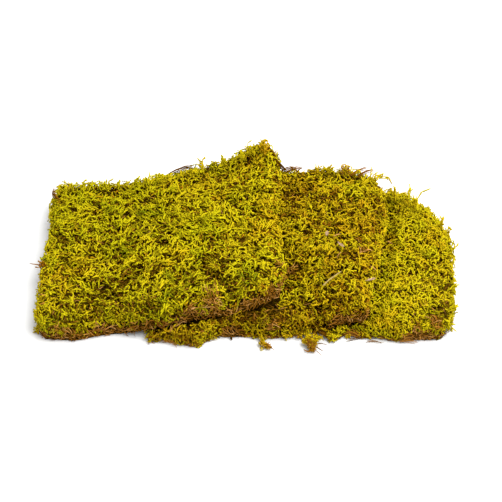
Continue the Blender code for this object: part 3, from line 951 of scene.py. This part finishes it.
# %% Arcs from place to place
def arcs(starts, ends, bulge, side, width, tone, rng):
    """Strands from starts to ends, which bulge to the side by a share of their lengths."""
    count = len(starts)
    chord = ends - starts
    span = np.linalg.norm(chord, axis=1)
    ahead = unit(chord)
    side = unit(flattened(side, ahead))
    half = 2 * np.arctan(2 * bulge)
    cos, sin = np.cos(half)[:, None], np.sin(half)[:, None]
    return Strands(
        root=starts, along=cos * ahead + sin * side, towards=sin * ahead - cos * side,
        length=span / np.sinc(half / math.pi), turn=2 * half, sway=rng.normal(0, 0.04, count),
        width=width, roll=rng.uniform(0, 2 * math.pi, count), tone=tone,
        young=rng.uniform(0.75, 1.0, count), top=starts, facing=np.zeros((count, 3)),
    )


ROOTED = 0.25  # a standing strand starts this share of its length behind its root, inside the mat


def strays(rows, seed, lying=False):
    """The strands of a table's rows. Lying ones end on what is seen at their last pixel."""
    rng = np.random.default_rng(seed)
    made = []
    for *pixels, count, scatter, bulge, width, tone in rows:
        root = caught(pixels[:2])
        tip = caught(pixels[2:]) if lying else seen(pixels[2:], root.y)
        back = (tip - root) * (0.0 if lying else ROOTED)
        starts = np.array(root - back) + rng.normal(0, scatter, (count, 3)) * MM
        ends = np.array(tip) + rng.normal(0, scatter, (count, 3)) * MM
        side = np.array(to_camera.cross(tip - root)) + rng.normal(0, 0.2, (count, 3)) * (tip - root).length
        made.append(arcs(
            starts, ends, bulge * rng.uniform(0.5, 1.4, count) + 1e-3, side,
            width * rng.uniform(0.85, 1.15, count) * MM, tone + rng.normal(0, 0.05, count), rng,
        ))
    return Strands.joined(made)


# %% Stray stems
STRAY_STEMS = {
    "upper_mat": [
        # wisps that arch over the back edge
        (171, 175, 194, 168, 6, 0.6, 0.12, 0.36, 0.3), (180, 172, 193, 166, 4, 0.6, 0.12, 0.32, 0.4),
        # the curl at the back left corner
        (60, 198, 55, 188, 7, 0.7, 0.25, 0.38, 0.42),
        # a wisp on the left edge
        (42, 264, 29, 263, 3, 0.2, 0.05, 0.36, 0.5),
        # crumbs on the left edge
        (45, 295, 40, 293, 2, 0.4, 0.1, 0.5, 0.72), (44, 303, 39, 304, 2, 0.4, 0.1, 0.5, 0.7),
        # the dark side under the peak
        (267, 149, 280, 167, 12, 0.8, 0.05, 0.36, 0.14), (274, 161, 286, 173, 12, 0.9, 0.05, 0.36, 0.16),
        # dead stems that hang over the front edge
        (203, 288, 201, 307, 4, 1, 0.12, 0.3, 0.85), (210, 289, 207, 310, 5, 1.4, 0.15, 0.32, 0.8),
        (216, 293, 214, 309, 4, 1.2, 0.12, 0.3, 0.6),
        # a pale chip of bark
        (190, 309.5, 197, 307.5, 1, 0, 0.02, 0.85, 0.98),
    ],
    "middle_mat": [
        # arches at the back
        (284, 174, 300, 170, 5, 0.7, 0.22, 0.36, 0.44), (288, 173, 305, 168, 4, 0.6, 0.12, 0.34, 0.5),
        (297, 174, 303, 167, 3, 0.7, 0.15, 0.32, 0.5),
        # reddish tufts
        (343, 173, 345, 164, 4, 0.9, 0.15, 0.3, 0.72), (348, 173, 351, 165, 4, 0.9, 0.15, 0.3, 0.66),
        # wisps at the back right
        (352, 176, 368, 168, 5, 0.6, 0.1, 0.42, 0.48), (360, 178, 376, 171, 4, 0.5, 0.15, 0.42, 0.52),
        # crumbs of leaf
        (334, 237, 341, 234, 1, 0.1, 0.1, 0.6, 0.88), (338, 257, 342, 252, 2, 0.3, 0.1, 0.5, 0.84),
        (371, 267, 376, 271, 1, 0.1, 0.1, 0.6, 0.88), (388, 242, 393, 246, 1, 0.1, 0.1, 0.65, 0.86),
    ],
    "lower_mat": [
        # a thin stem at the back
        (404, 203, 411, 191, 1, 0.2, 0.1, 0.26, 0.8),
    ],
}
LYING_STEMS = {
    "middle_mat": [
        # a dark seed
        (230.6, 336.5, 232, 340.5, 1, 0, 0.02, 0.75, 0.03),
        # thin stems in front
        (160, 343, 178, 348, 3, 0.8, 0.2, 0.26, 0.6),
        # dark stems beside the sprig
        (317, 331, 329, 338, 12, 0.9, 0.1, 0.42, 0.25),
    ],
    "lower_mat": [
        # twigs along the foot
        (346, 341, 376, 339, 4, 0.8, 0.08, 0.25, 0.25), (366, 342, 384, 343, 3, 0.8, 0.12, 0.25, 0.4),
        (398, 341, 418, 342, 4, 0.8, 0.12, 0.26, 0.7),
        # dead leaf and stems where two mats meet
        (344, 335, 360, 338, 14, 1.2, 0.15, 0.38, 0.62), (353, 334, 371, 338, 14, 1.2, 0.15, 0.38, 0.5),
    ],
}
print("strays of dead stem:", sum(len(rows) for rows in (*STRAY_STEMS.values(), *LYING_STEMS.values())))

# %% Stray shoots
STRAY_SHOOTS = {
    "upper_mat": [
        # the tip of the peak
        (263, 151, 264, 141, 7, 1, 0.12, 0.5, 0.38), (266, 153, 267, 145, 5, 0.8, 0.12, 0.48, 0.3),
        # along the back edge
        (252, 154, 250, 145, 5, 1.2, 0.12, 0.55, 0.6), (244, 158, 241, 151, 4, 1, 0.12, 0.55, 0.65),
        (226, 164, 222, 158, 5, 1.1, 0.15, 0.6, 0.65), (205, 170, 203, 161, 5, 1.1, 0.2, 0.6, 0.55),
        (160, 182, 163, 175, 5, 1.1, 0.2, 0.6, 0.7), (141, 186, 138, 178, 5, 1.1, 0.2, 0.6, 0.75),
        (110, 189, 108, 182, 5, 1.1, 0.2, 0.6, 0.75), (94, 190, 92, 184, 5, 1.1, 0.2, 0.6, 0.75),
        (102, 189, 101, 182, 4, 1.2, 0.2, 0.55, 0.75), (84, 190, 84, 183, 5, 1.4, 0.2, 0.55, 0.72),
        (76, 191, 75, 184, 5, 1.4, 0.2, 0.55, 0.72), (120, 187, 119, 181, 4, 1.2, 0.2, 0.55, 0.75),
        (150, 184, 150, 177, 4, 1.2, 0.2, 0.55, 0.72), (68, 192, 65, 184, 4, 0.8, 0.2, 0.55, 0.72),
        (60, 194, 60, 187, 3, 0.8, 0.2, 0.55, 0.7),
        # a dull tuft on the left edge
        (45, 260, 39, 259, 5, 1.2, 0.15, 0.46, 0.97), (45, 264, 38, 264, 5, 1.2, 0.15, 0.46, 0.04),
    ],
    "middle_mat": [
        # along the back edge
        (318, 174, 318, 167, 4, 1, 0.2, 0.52, 0.45), (330, 173, 332, 166, 4, 1, 0.2, 0.52, 0.45),
        (346, 174, 347, 166, 5, 1.2, 0.2, 0.52, 0.4), (357, 178, 360, 170, 3, 0.9, 0.2, 0.5, 0.45),
        # a yellow wisp
        (362, 186, 379, 177, 4, 0.5, 0.12, 0.56, 0.56), (370, 183, 391, 178, 3, 0.2, 0.12, 0.46, 0.56),
    ],
    "lower_mat": [
        # along the back edge
        (385, 198, 383, 190, 4, 1, 0.2, 0.58, 0.5), (392, 199, 391, 190, 6, 1, 0.2, 0.58, 0.52),
        (397, 201, 396, 189, 6, 1, 0.15, 0.58, 0.52), (396, 197, 411, 193, 3, 0.3, 0.08, 0.5, 0.56),
        (411, 206, 410, 189, 4, 0.4, 0.1, 0.55, 0.58), (404, 202, 403, 197, 4, 1.2, 0.2, 0.55, 0.58),
        # the tall spike
        (421, 211, 424, 190, 1, 0, 0.16, 0.9, 0.6),
        # down the right edge
        (417, 210, 416, 200, 5, 0.8, 0.15, 0.58, 0.6), (428, 214, 430, 207, 2, 0.6, 0.15, 0.5, 0.6),
        (443, 229, 443, 219, 4, 0.6, 0.15, 0.56, 0.54), (449, 237, 451, 227, 3, 0.6, 0.15, 0.56, 0.54),
        (452, 252, 458, 245, 3, 0.5, 0.15, 0.54, 0.54), (451, 290, 457, 285, 3, 0.8, 0.2, 0.5, 0.6),
        (449, 312, 457, 306, 4, 1, 0.2, 0.52, 0.62),
        # the fronds at the front right corner
        (446, 322, 450, 333, 5, 1.2, 0.15, 0.55, 0.62),
    ],
}
LYING_SHOOTS = {
    "upper_mat": [
        # a frayed end at the left
        (38, 324, 36, 331, 5, 1, 0.15, 0.5, 0.45),
    ],
    "middle_mat": [
        # the edge that hangs down to the sprigs
        (299, 332, 300, 338, 7, 1.3, 0.15, 0.44, 0.3), (307, 332, 307, 339, 10, 1.4, 0.15, 0.44, 0.48),
        (316, 332, 316, 338, 9, 1.4, 0.15, 0.44, 0.24), (327, 332, 329, 337, 7, 1.3, 0.15, 0.46, 0.46),
        (261, 336, 261, 341, 7, 1.1, 0.15, 0.5, 0.46), (285, 334, 285, 337, 6, 1.6, 0.15, 0.5, 0.5),
    ],
    "lower_mat": [
        # where two mats meet
        (348, 331, 347, 337, 7, 1.4, 0.15, 0.48, 0.4), (357, 331, 358, 337, 7, 1.4, 0.15, 0.48, 0.48),
        (366, 332, 367, 338, 7, 1.4, 0.15, 0.48, 0.55),
    ],
}
print("stray shoots:", sum(len(rows) for rows in (*STRAY_SHOOTS.values(), *LYING_SHOOTS.values())))

# %% Thatch and sprays as pieces
SPRAY = dict(CURLY, sides=3, side_length=(0.28, 0.5), side_turn=(-1.0, 1.6), loose=0.7)


def all_strays(node, standing, lying, seeds):
    """The strands that two tables hold for a mat."""
    parts = [strays(standing[node], seeds[0])]
    if node in lying:
        parts.append(strays(lying[node], seeds[1], lying=True))
    return Strands.joined(parts)


for number, (node, plan) in enumerate(PLANTING.items()):
    stems = all_strays(node, STRAY_STEMS, LYING_STEMS, (60 + number, 70 + number))
    stems = Strands.joined([edge_stems[node], stems])
    stems = [(stems, DEAD_STEM), (pit_stems[node], BARB)]
    add_piece(joined_mesh(node.replace("_mat", "_thatch"), stems, dead_stems), plan["slot"], node)
    mains = all_strays(node, STRAY_SHOOTS, LYING_SHOOTS, (80 + number, 85 + number))
    flat = np.cross(mains.along, mains.towards)
    sides = side_branchlets(mains, flat, SPRAY, np.random.default_rng(90 + number))
    sprays = [(mains, LONG_BRANCHLET), (Strands.joined(sides), BARB)]
    add_piece(joined_mesh(node.replace("_mat", "_sprays"), sprays, moss), plan["slot"], node)

# %% [markdown]
# ## The felt under the shoots
#
# Through the gaps between shoots the eye must meet dark felt and never a hole. A copy of the mat's
# solid is merged and drawn in: its top sinks by several millimetres, its sides move in by less, and
# where a cut edge is bare the felt stays right behind the stems. The foot keeps its outline.

# %% Felt
SUNK = 5.0 * MM  # how far the felt's top lies below the tips of the shoots
INSET, BEHIND_SHOOTS = 0.9 * MM, 1.7 * MM  # how far its sides move in, and how much more by shoots
LUMP, LUMP_SIZE = 0.7 * MM, 4 * MM  # how high its lumps are, and how wide
THINNEST = 0.4 * MM  # its top is at least this high over the mat's underside


def felt_block(name, node, plan):
    """A lumpy block inside the mat's solid."""
    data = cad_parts[node].data.copy()
    block = bpy.data.objects.new(name, data)
    bpy.context.scene.collection.objects.link(block)
    mesh = welded(data)
    mat = mats[node]
    feet = np.array([mat.foot(p, n) for p, n in zip(mat.points, mat.normals)])
    bare = bare_height(plan, mat.points, mat.normals)
    planted = np.clip((mat.points[:, 2] - feet - bare) / (2 * MM), 0, 1) * (bare > 0) + (bare <= 0)
    deeper = patched(plan, mat.points)[1]
    for v, normal, foot, living, hollow in zip(mesh.verts, mat.normals, feet, planted, deeper):
        lying = v.normal.z < -0.4
        share = min(1.0, max(normal[2] - 0.2, 0) / 0.6)
        inset = INSET + (BEHIND_SHOOTS + hollow) * living
        lumps = LUMP * noise.noise(v.co / LUMP_SIZE) * share
        v.co.x -= normal[0] * inset
        v.co.y -= normal[1] * inset
        top = v.co.z - (SUNK + hollow) * share - lumps
        v.co.z = v.co.z + 0.05 * MM if lying else max(top, foot + THINNEST)
    bmesh.ops.recalc_face_normals(mesh, faces=mesh.faces)
    mesh.to_mesh(data)
    mesh.free()
    data.materials.clear()
    data.materials.append(felt)
    bpy.ops.object.select_all(action="DESELECT")
    bpy.context.view_layer.objects.active = block
    block.select_set(True)
    bpy.ops.object.shade_smooth()
    return block


for node, plan in PLANTING.items():
    block = felt_block(node.replace("_mat", "_felt"), node, plan)
    add_piece(block, plan["slot"], node)
    print(block.name, "has", len(block.data.polygons), "faces")

# %% [markdown]
# ## The torn sprigs
#
# Two sprigs broke off the front edge and lie on the table. The larger one is a dense twisted bundle
# of shoots, matted and half dried, with three bare dark stalks and a stub of twig. The smaller one
# carries a brown bud. Shoots are drawn out of a centre line, each at a slant from it, so that they
# wrap the line like a rope that frays.

# %% Shoots and stalks along a line
def along_path(path, share):
    """Places, headings and radii on a path of (x, y, z, radius) rows in mm, share of the way along."""
    path = np.array(path) * MM
    steps = np.linspace(0, 1, len(path))

    def between(columns):
        return np.stack([np.interp(share, steps, column) for column in columns.T], 1)

    rows = between(path)
    return rows[:, :3], unit(between(np.gradient(path[:, :3], axis=0))), rows[:, 3]


def bundle(path, count, tones, seed, length=(3, 5), width=(0.34, 0.50), lean=(0.2, 0.8)):
    """Shoots that leave a path at a slant. Tones are at the path's beginning and end."""
    rng = np.random.default_rng(seed)
    share = rng.random(count)
    centre, ahead, radius = along_path(path, share)
    out = rng.normal(size=(count, 3))
    out = unit(flattened(out, ahead))
    slant = rng.uniform(*lean, count)[:, None]
    along = np.cos(slant) * ahead + np.sin(slant) * out
    curl = np.cos(slant) * out - np.sin(slant) * ahead
    swing = rng.normal(math.pi, 1.2, count)[:, None]
    towards = np.cos(swing) * curl + np.sin(swing) * np.cross(along, curl)
    return Strands(
        root=centre + out * radius[:, None] * 0.4 - ahead * 0.8 * MM, along=along, towards=towards,
        length=rng.uniform(*length, count) * MM, turn=rng.uniform(0.4, 1.9, count),
        sway=rng.normal(0, 0.08, count), width=rng.uniform(*width, count) * MM,
        roll=rng.uniform(0, 2 * math.pi, count),
        tone=tones[0] + (tones[1] - tones[0]) * share + rng.normal(0, 0.13, count),
        # painted shade: shoots deep inside the bundle are mapped darker, by their depth under its outside
        young=rng.uniform(0.55, 0.9, count), top=centre + out * radius[:, None], facing=out,
    )


def stalks(rows, seed):
    """Single stems, each given as (first, middle, last, half width in mm, tone)."""
    rng = np.random.default_rng(seed)
    made = []
    for first, middle, last, width, tone in rows:
        first, middle, last = (np.array([p]) * MM for p in (first, middle, last))
        off = middle - (first + last) / 2
        bulge = np.linalg.norm(off) / np.linalg.norm(last - first)
        measures = (np.array([m]) for m in (width * MM, tone))
        made.append(arcs(first, last, np.array([bulge + 1e-3]), off + 1e-6, *measures, rng))
    return Strands.joined(made)


# %% Sprigs
MATTED = dict(length=(2.4, 4.2), width=(0.26, 0.38), lean=(0.1, 0.6))
left_line = [
    (35.0, -73.4, 3.2, 1.2), (37.8, -75.4, 4.0, 1.8), (40.0, -78.6, 3.6, 1.9), (41.2, -81.0, 2.4, 1.1),
]
right_line = [
    (45.2, -72.6, 4.2, 1.3), (43.8, -75.4, 4.6, 1.8), (42.6, -78.6, 3.6, 1.8), (41.8, -81.6, 2.2, 1.1),
]
middle_line = [(39.6, -72.2, 4.6, 2.6), (40.8, -76.2, 4.8, 2.9), (41.8, -80.2, 2.8, 1.8)]
top_line = [(35.0, -72.2, 4.2, 1.6), (41.0, -73.6, 5.0, 1.8), (47.0, -72.2, 4.6, 1.2)]
stem_line = [(37.6, -74.6, 4.2, 2.0), (40.2, -77.6, 4.4, 2.4), (41.8, -80.8, 2.8, 1.6)]
front_shoots = Strands.joined([
    bundle(left_line, 120, (0.40, 0.24), 201, **MATTED),
    bundle(right_line, 120, (0.42, 0.24), 202, **MATTED),
    bundle(middle_line, 130, (0.36, 0.22), 203, **MATTED),
    bundle(top_line, 34, (0.50, 0.48), 206, width=(0.38, 0.50)),
])
front_stalks = [
    ((42.6, -77.6, 3.6), (47.5, -77.4, 3.9), (51.9, -78.2, 3.2), 0.40, 0.28),
    ((42.4, -79.2, 3.2), (46.0, -81.4, 3.0), (49.2, -82.8, 1.9), 0.46, 0.26),
    ((42.6, -81.0, 2.4), (45.6, -84.2, 1.8), (48.0, -87.2, 1.0), 0.28, 0.40),
    ((41.6, -81.4, 2.2), (38.6, -82.4, 1.7), (35.9, -79.6, 1.6), 0.60, 0.52),  # the stub of twig
]
front_stems = Strands.joined([
    stalks(front_stalks, 204),
    bundle(stem_line, 90, (0.45, 0.60), 205, width=(0.20, 0.30), lean=(0.1, 0.6)),
])
small_line = [(6.8, -73.8, 2.2, 1.3), (9.8, -76.0, 2.6, 2.1), (12.6, -77.8, 1.8, 1.4)]
frayed_line = [(10.0, -76.4, 2.2, 1.2), (8.8, -78.2, 1.5, 0.8), (8.2, -79.6, 1.0, 0.4)]
small_shoots = Strands.joined([
    bundle(small_line, 90, (0.32, 0.18), 211, length=(2.4, 4.0), width=(0.30, 0.42), lean=(0.1, 0.7)),
    bundle(frayed_line, 12, (0.5, 0.4), 212, length=(2, 3)),
])
small_stems = stalks([
    ((11.2, -76.6, 2.2), (13.2, -78.0, 2.1), (15.6, -79.6, 1.6), 1.40, 0.36),  # the bud
    ((12.4, -77.6, 3.2), (13.6, -78.4, 3.1), (14.8, -79.2, 2.6), 0.50, 0.86),  # its torn pale side
    ((14.8, -78.8, 1.6), (16.0, -79.8, 1.4), (17.3, -80.6, 0.9), 0.30, 0.45),
], 213)
for node, shoots, stems in (
    ("front_sprig", front_shoots, front_stems), ("small_sprig", small_shoots, small_stems),
):
    add_piece(joined_mesh(node + "_shoots", [(shoots, SHORT_BRANCHLET)], moss), "sprig", node)
    add_piece(joined_mesh(node + "_stems", [(stems, DEAD_STEM)], dead_stems), "sprig", node)

# %% [markdown]
# ## The straw
#
# A dry halm of grass lies over the middle mat's shoots. It is a tube of eight sides, drawn out ring
# by ring, with a knot a third of the way along and torn ends. Then it is bent onto the centre line
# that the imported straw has, so that it lies where that one lies.

# %% Dry tissue
def dry_material(name, dark, pale, stretch, axis):
    """Dead plant tissue: a streaky noise that runs along the piece, between two colours."""
    made, tree, shader = plain_material(name, roughness=0.8, gloss=0.1)
    turned = tree.nodes.new("ShaderNodeMapping")
    turned.vector_type = "TEXTURE"
    turned.inputs["Rotation"].default_value = (0, 0, math.atan2(axis[1], axis[0]))
    turned.inputs["Scale"].default_value = [length * MM for length in stretch]
    place = tree.nodes.new("ShaderNodeTexCoord").outputs["Object"]
    tree.links.new(place, turned.inputs["Vector"])
    streaks = noise_of(tree, turned.outputs["Vector"], scale=1.0, detail=3)
    colour = ramp(tree, streaks, [(0.35, dark), (0.6, pale)])
    tree.links.new(colour, shader.inputs["Base Color"])
    bumped(tree, shader, streaks, 0.1 * MM)
    return made


# %% The straw's centre line
def centre_line(node, count):
    """Points along the middle of a long thin node, from its left end to its right end."""
    points = np.array([v.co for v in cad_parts[node].data.vertices])
    middle_point = points.mean(0)
    axis = np.linalg.svd(points - middle_point)[2][0]
    axis = axis * np.sign(axis[0])
    along = (points - middle_point) @ axis
    edges = np.linspace(along.min(), along.max(), count)
    reach = (edges[1] - edges[0]) * 0.6
    return np.array([points[np.abs(along - e) < reach].mean(0) for e in edges]), axis


line, straw_axis = centre_line("straw", 5)
line = 0.5 * line + 0.5 * np.linspace(line[0], line[-1], 5)
straw_length = np.linalg.norm(np.diff(line, axis=0), axis=1).sum()
print("the straw is", round(straw_length / MM, 1), "mm long")

# %% Straw
STRAW_RINGS = [  # share of the way along, radius in mm
    (0.0, 0.42), (0.03, 0.50), (0.14, 0.49), (0.30, 0.48), (0.33, 0.60), (0.36, 0.58),
    (0.39, 0.47), (0.55, 0.45), (0.72, 0.42), (0.88, 0.38), (0.97, 0.36), (1.0, 0.25),
]
(_, first_radius), (second_place, second_radius) = STRAW_RINGS[:2]
depth = second_place * straw_length
straw = fresh(
    "straw_halm", bpy.ops.mesh.primitive_cylinder_add, vertices=8, radius=first_radius * MM,
    depth=depth, location=(0, 0, depth / 2),
)
bpy.ops.object.transform_apply(location=True)
select_where(straw.data, lambda place: place.z > depth - 1e-6)
bpy.ops.transform.resize(value=(second_radius / first_radius,) * 2 + (1,))
for (s0, r0), (s1, r1) in zip(STRAW_RINGS[1:], STRAW_RINGS[2:]):
    draw_out((s1 - s0) * straw_length, r1 / r0)
bpy.ops.object.mode_set(mode="OBJECT")

# %% Bend the straw onto its line
TORN_FOOT, TORN_TIP = (-0.02, 0.04), (-0.05, 0.03)  # how far its ends' points are drawn out or in
rng = np.random.default_rng(221)
steps = np.linspace(0, 1, len(line))
sideways = unit(np.cross(straw_axis, (0, 0, 1)))
upright = np.cross(sideways, straw_axis)
for v in straw.data.vertices:
    share = v.co.z / straw_length
    if share > 0.99 or share < 0.001:
        torn = rng.uniform(*(TORN_TIP if share > 0.99 else TORN_FOOT))
        share = min(max(share + torn, 0.0), 1.0)
    place = np.array([np.interp(share, steps, column) for column in line.T])
    v.co = Vector(place + sideways * v.co.x + upright * v.co.y * 0.8)
bpy.ops.object.mode_set(mode="EDIT")
bpy.ops.mesh.select_all(action="SELECT")
bpy.ops.mesh.normals_make_consistent(inside=False)
bpy.ops.object.mode_set(mode="OBJECT")
bpy.ops.object.shade_smooth()
straw.data.materials.append(dry_material(
    "dry_straw", (0.15, 0.10, 0.028), (0.29, 0.215, 0.075), (3, 0.2, 0.2), straw_axis,
))
add_piece(straw, "straw", "straw")
print("the straw has", len(straw.data.polygons), "faces")

# %% [markdown]
# ## Crumbs of dead leaf
#
# Three crumbs of dry leaf lie on the shoots. Each is a torn bit of thin brittle sheet that has curled
# up: a grid whose outline is drawn in at the tears, rolled about its length, and then given a
# thickness.

# %% Dead leaves
ALONG, ACROSS = 14, 8  # faces of a crumb's grid


def leaf_crumb(name, node, curl, seed):
    """A curled crumb of leaf in place of a flat node."""
    rng = np.random.default_rng(seed)
    points = np.array([v.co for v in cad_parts[node].data.vertices])
    centre = (points.max(0) + points.min(0)) / 2
    axis = np.linalg.svd((points - centre)[:, :2])[2][0]
    aside = np.array([-axis[1], axis[0]])
    long, wide = (np.ptp((points - centre)[:, :2] @ way) for way in (axis, aside))
    made = fresh(
        name, bpy.ops.mesh.primitive_grid_add, x_subdivisions=ALONG, y_subdivisions=ACROSS, size=1,
    )
    tears = rng.uniform(0.25, 1.0, ALONG + 1)
    ends = rng.uniform(0.84, 1.0, ACROSS + 1)
    for v in made.data.vertices:
        x, y = v.co.x, v.co.y
        half = max(1 - (2 * abs(x)) ** 1.6, 0.12) * tears[round((x + 0.5) * ALONG)]
        x = x * ends[round((y + 0.5) * ACROSS)]
        y = y * half
        lumps = 0.04 * noise.noise(Vector((5 * x, 5 * y, seed)))
        lift = (0.22 * curl * y * y + 0.25 * x * x + lumps) * math.cos((curl * y + 0.3 * x) * 0.3)
        place = centre[:2] + axis * x * long + aside * math.sin(2 * y * 0.9) * 0.62 * wide
        v.co = Vector((*place, centre[2] + lift * long - 0.2 * MM))
    thickness = made.modifiers.new("thickness", "SOLIDIFY")
    thickness.thickness = 0.18 * MM
    thickness.offset = 0
    bpy.ops.object.modifier_apply(modifier=thickness.name)
    bpy.ops.object.shade_smooth()
    made.data.materials.append(dry_material(
        name + "_tissue", (0.10, 0.052, 0.028), (0.30, 0.200, 0.120), (1.6, 0.5, 0.5), axis,
    ))
    print(name, "is", round(long / MM, 1), "by", round(wide / MM, 1), "mm")
    return made


for number, curl in ((1, 2.4), (2, 1.6), (3, 3.0)):
    node = f"dead_leaf_{number}"
    add_piece(leaf_crumb(f"leaf_crumb_{number}", node, curl, 230 + number), "dead_leaf", node)

# %% [markdown]
# ## Floor and light
#
# The table is plain white and so bright that it fades into the background. A large soft lamp above
# on the right leaves a faint shadow on the left.

# %% Floor and light
TABLE_WHITE, SKY_STRENGTH = 0.575, 1.25
LAMP_PLACE, LAMP_SIZE, LAMP_WATTS = (0.55, -0.19, 1.0), 1.4, 36

floor = fresh("floor", bpy.ops.mesh.primitive_plane_add, size=6, location=(0, 0, -0.2 * MM))
paper, _, paper_shader = plain_material("white_table", roughness=0.9, gloss=0.1)
paper_shader.inputs["Base Color"].default_value = (*grey(TABLE_WHITE), 1)
floor.data.materials.append(paper)
floor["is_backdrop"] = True

world = bpy.data.worlds.new("world")
world.use_nodes = True
world.node_tree.nodes["Background"].inputs["Color"].default_value = (1, 1, 1, 1)
world.node_tree.nodes["Background"].inputs["Strength"].default_value = SKY_STRENGTH
bpy.context.scene.world = world
bpy.context.scene.view_settings.view_transform = "Standard"

light = bpy.data.lights.new("key", "AREA")
light.shape = "DISK"
light.size = LAMP_SIZE
light.energy = LAMP_WATTS
lamp = bpy.data.objects.new("key", light)
turned = Vector(LAMP_PLACE).to_track_quat("Z", "Y").to_matrix().to_4x4()
lamp.matrix_world = Matrix.Translation(LAMP_PLACE) @ turned
bpy.context.scene.collection.objects.link(lamp)
print("the lamp stands", round(Vector(LAMP_PLACE).length, 2), "m from the clump")

# %% Sizes, and the end
size_lines = {"cad": [list(corner) for corner in cad_box], "visual": [list(corner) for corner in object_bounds()]}
growth = [[round((b - a) / MM, 1) for a, b in zip(*pair)] for pair in zip(*size_lines.values())]
print("grows by, in mm:", growth)
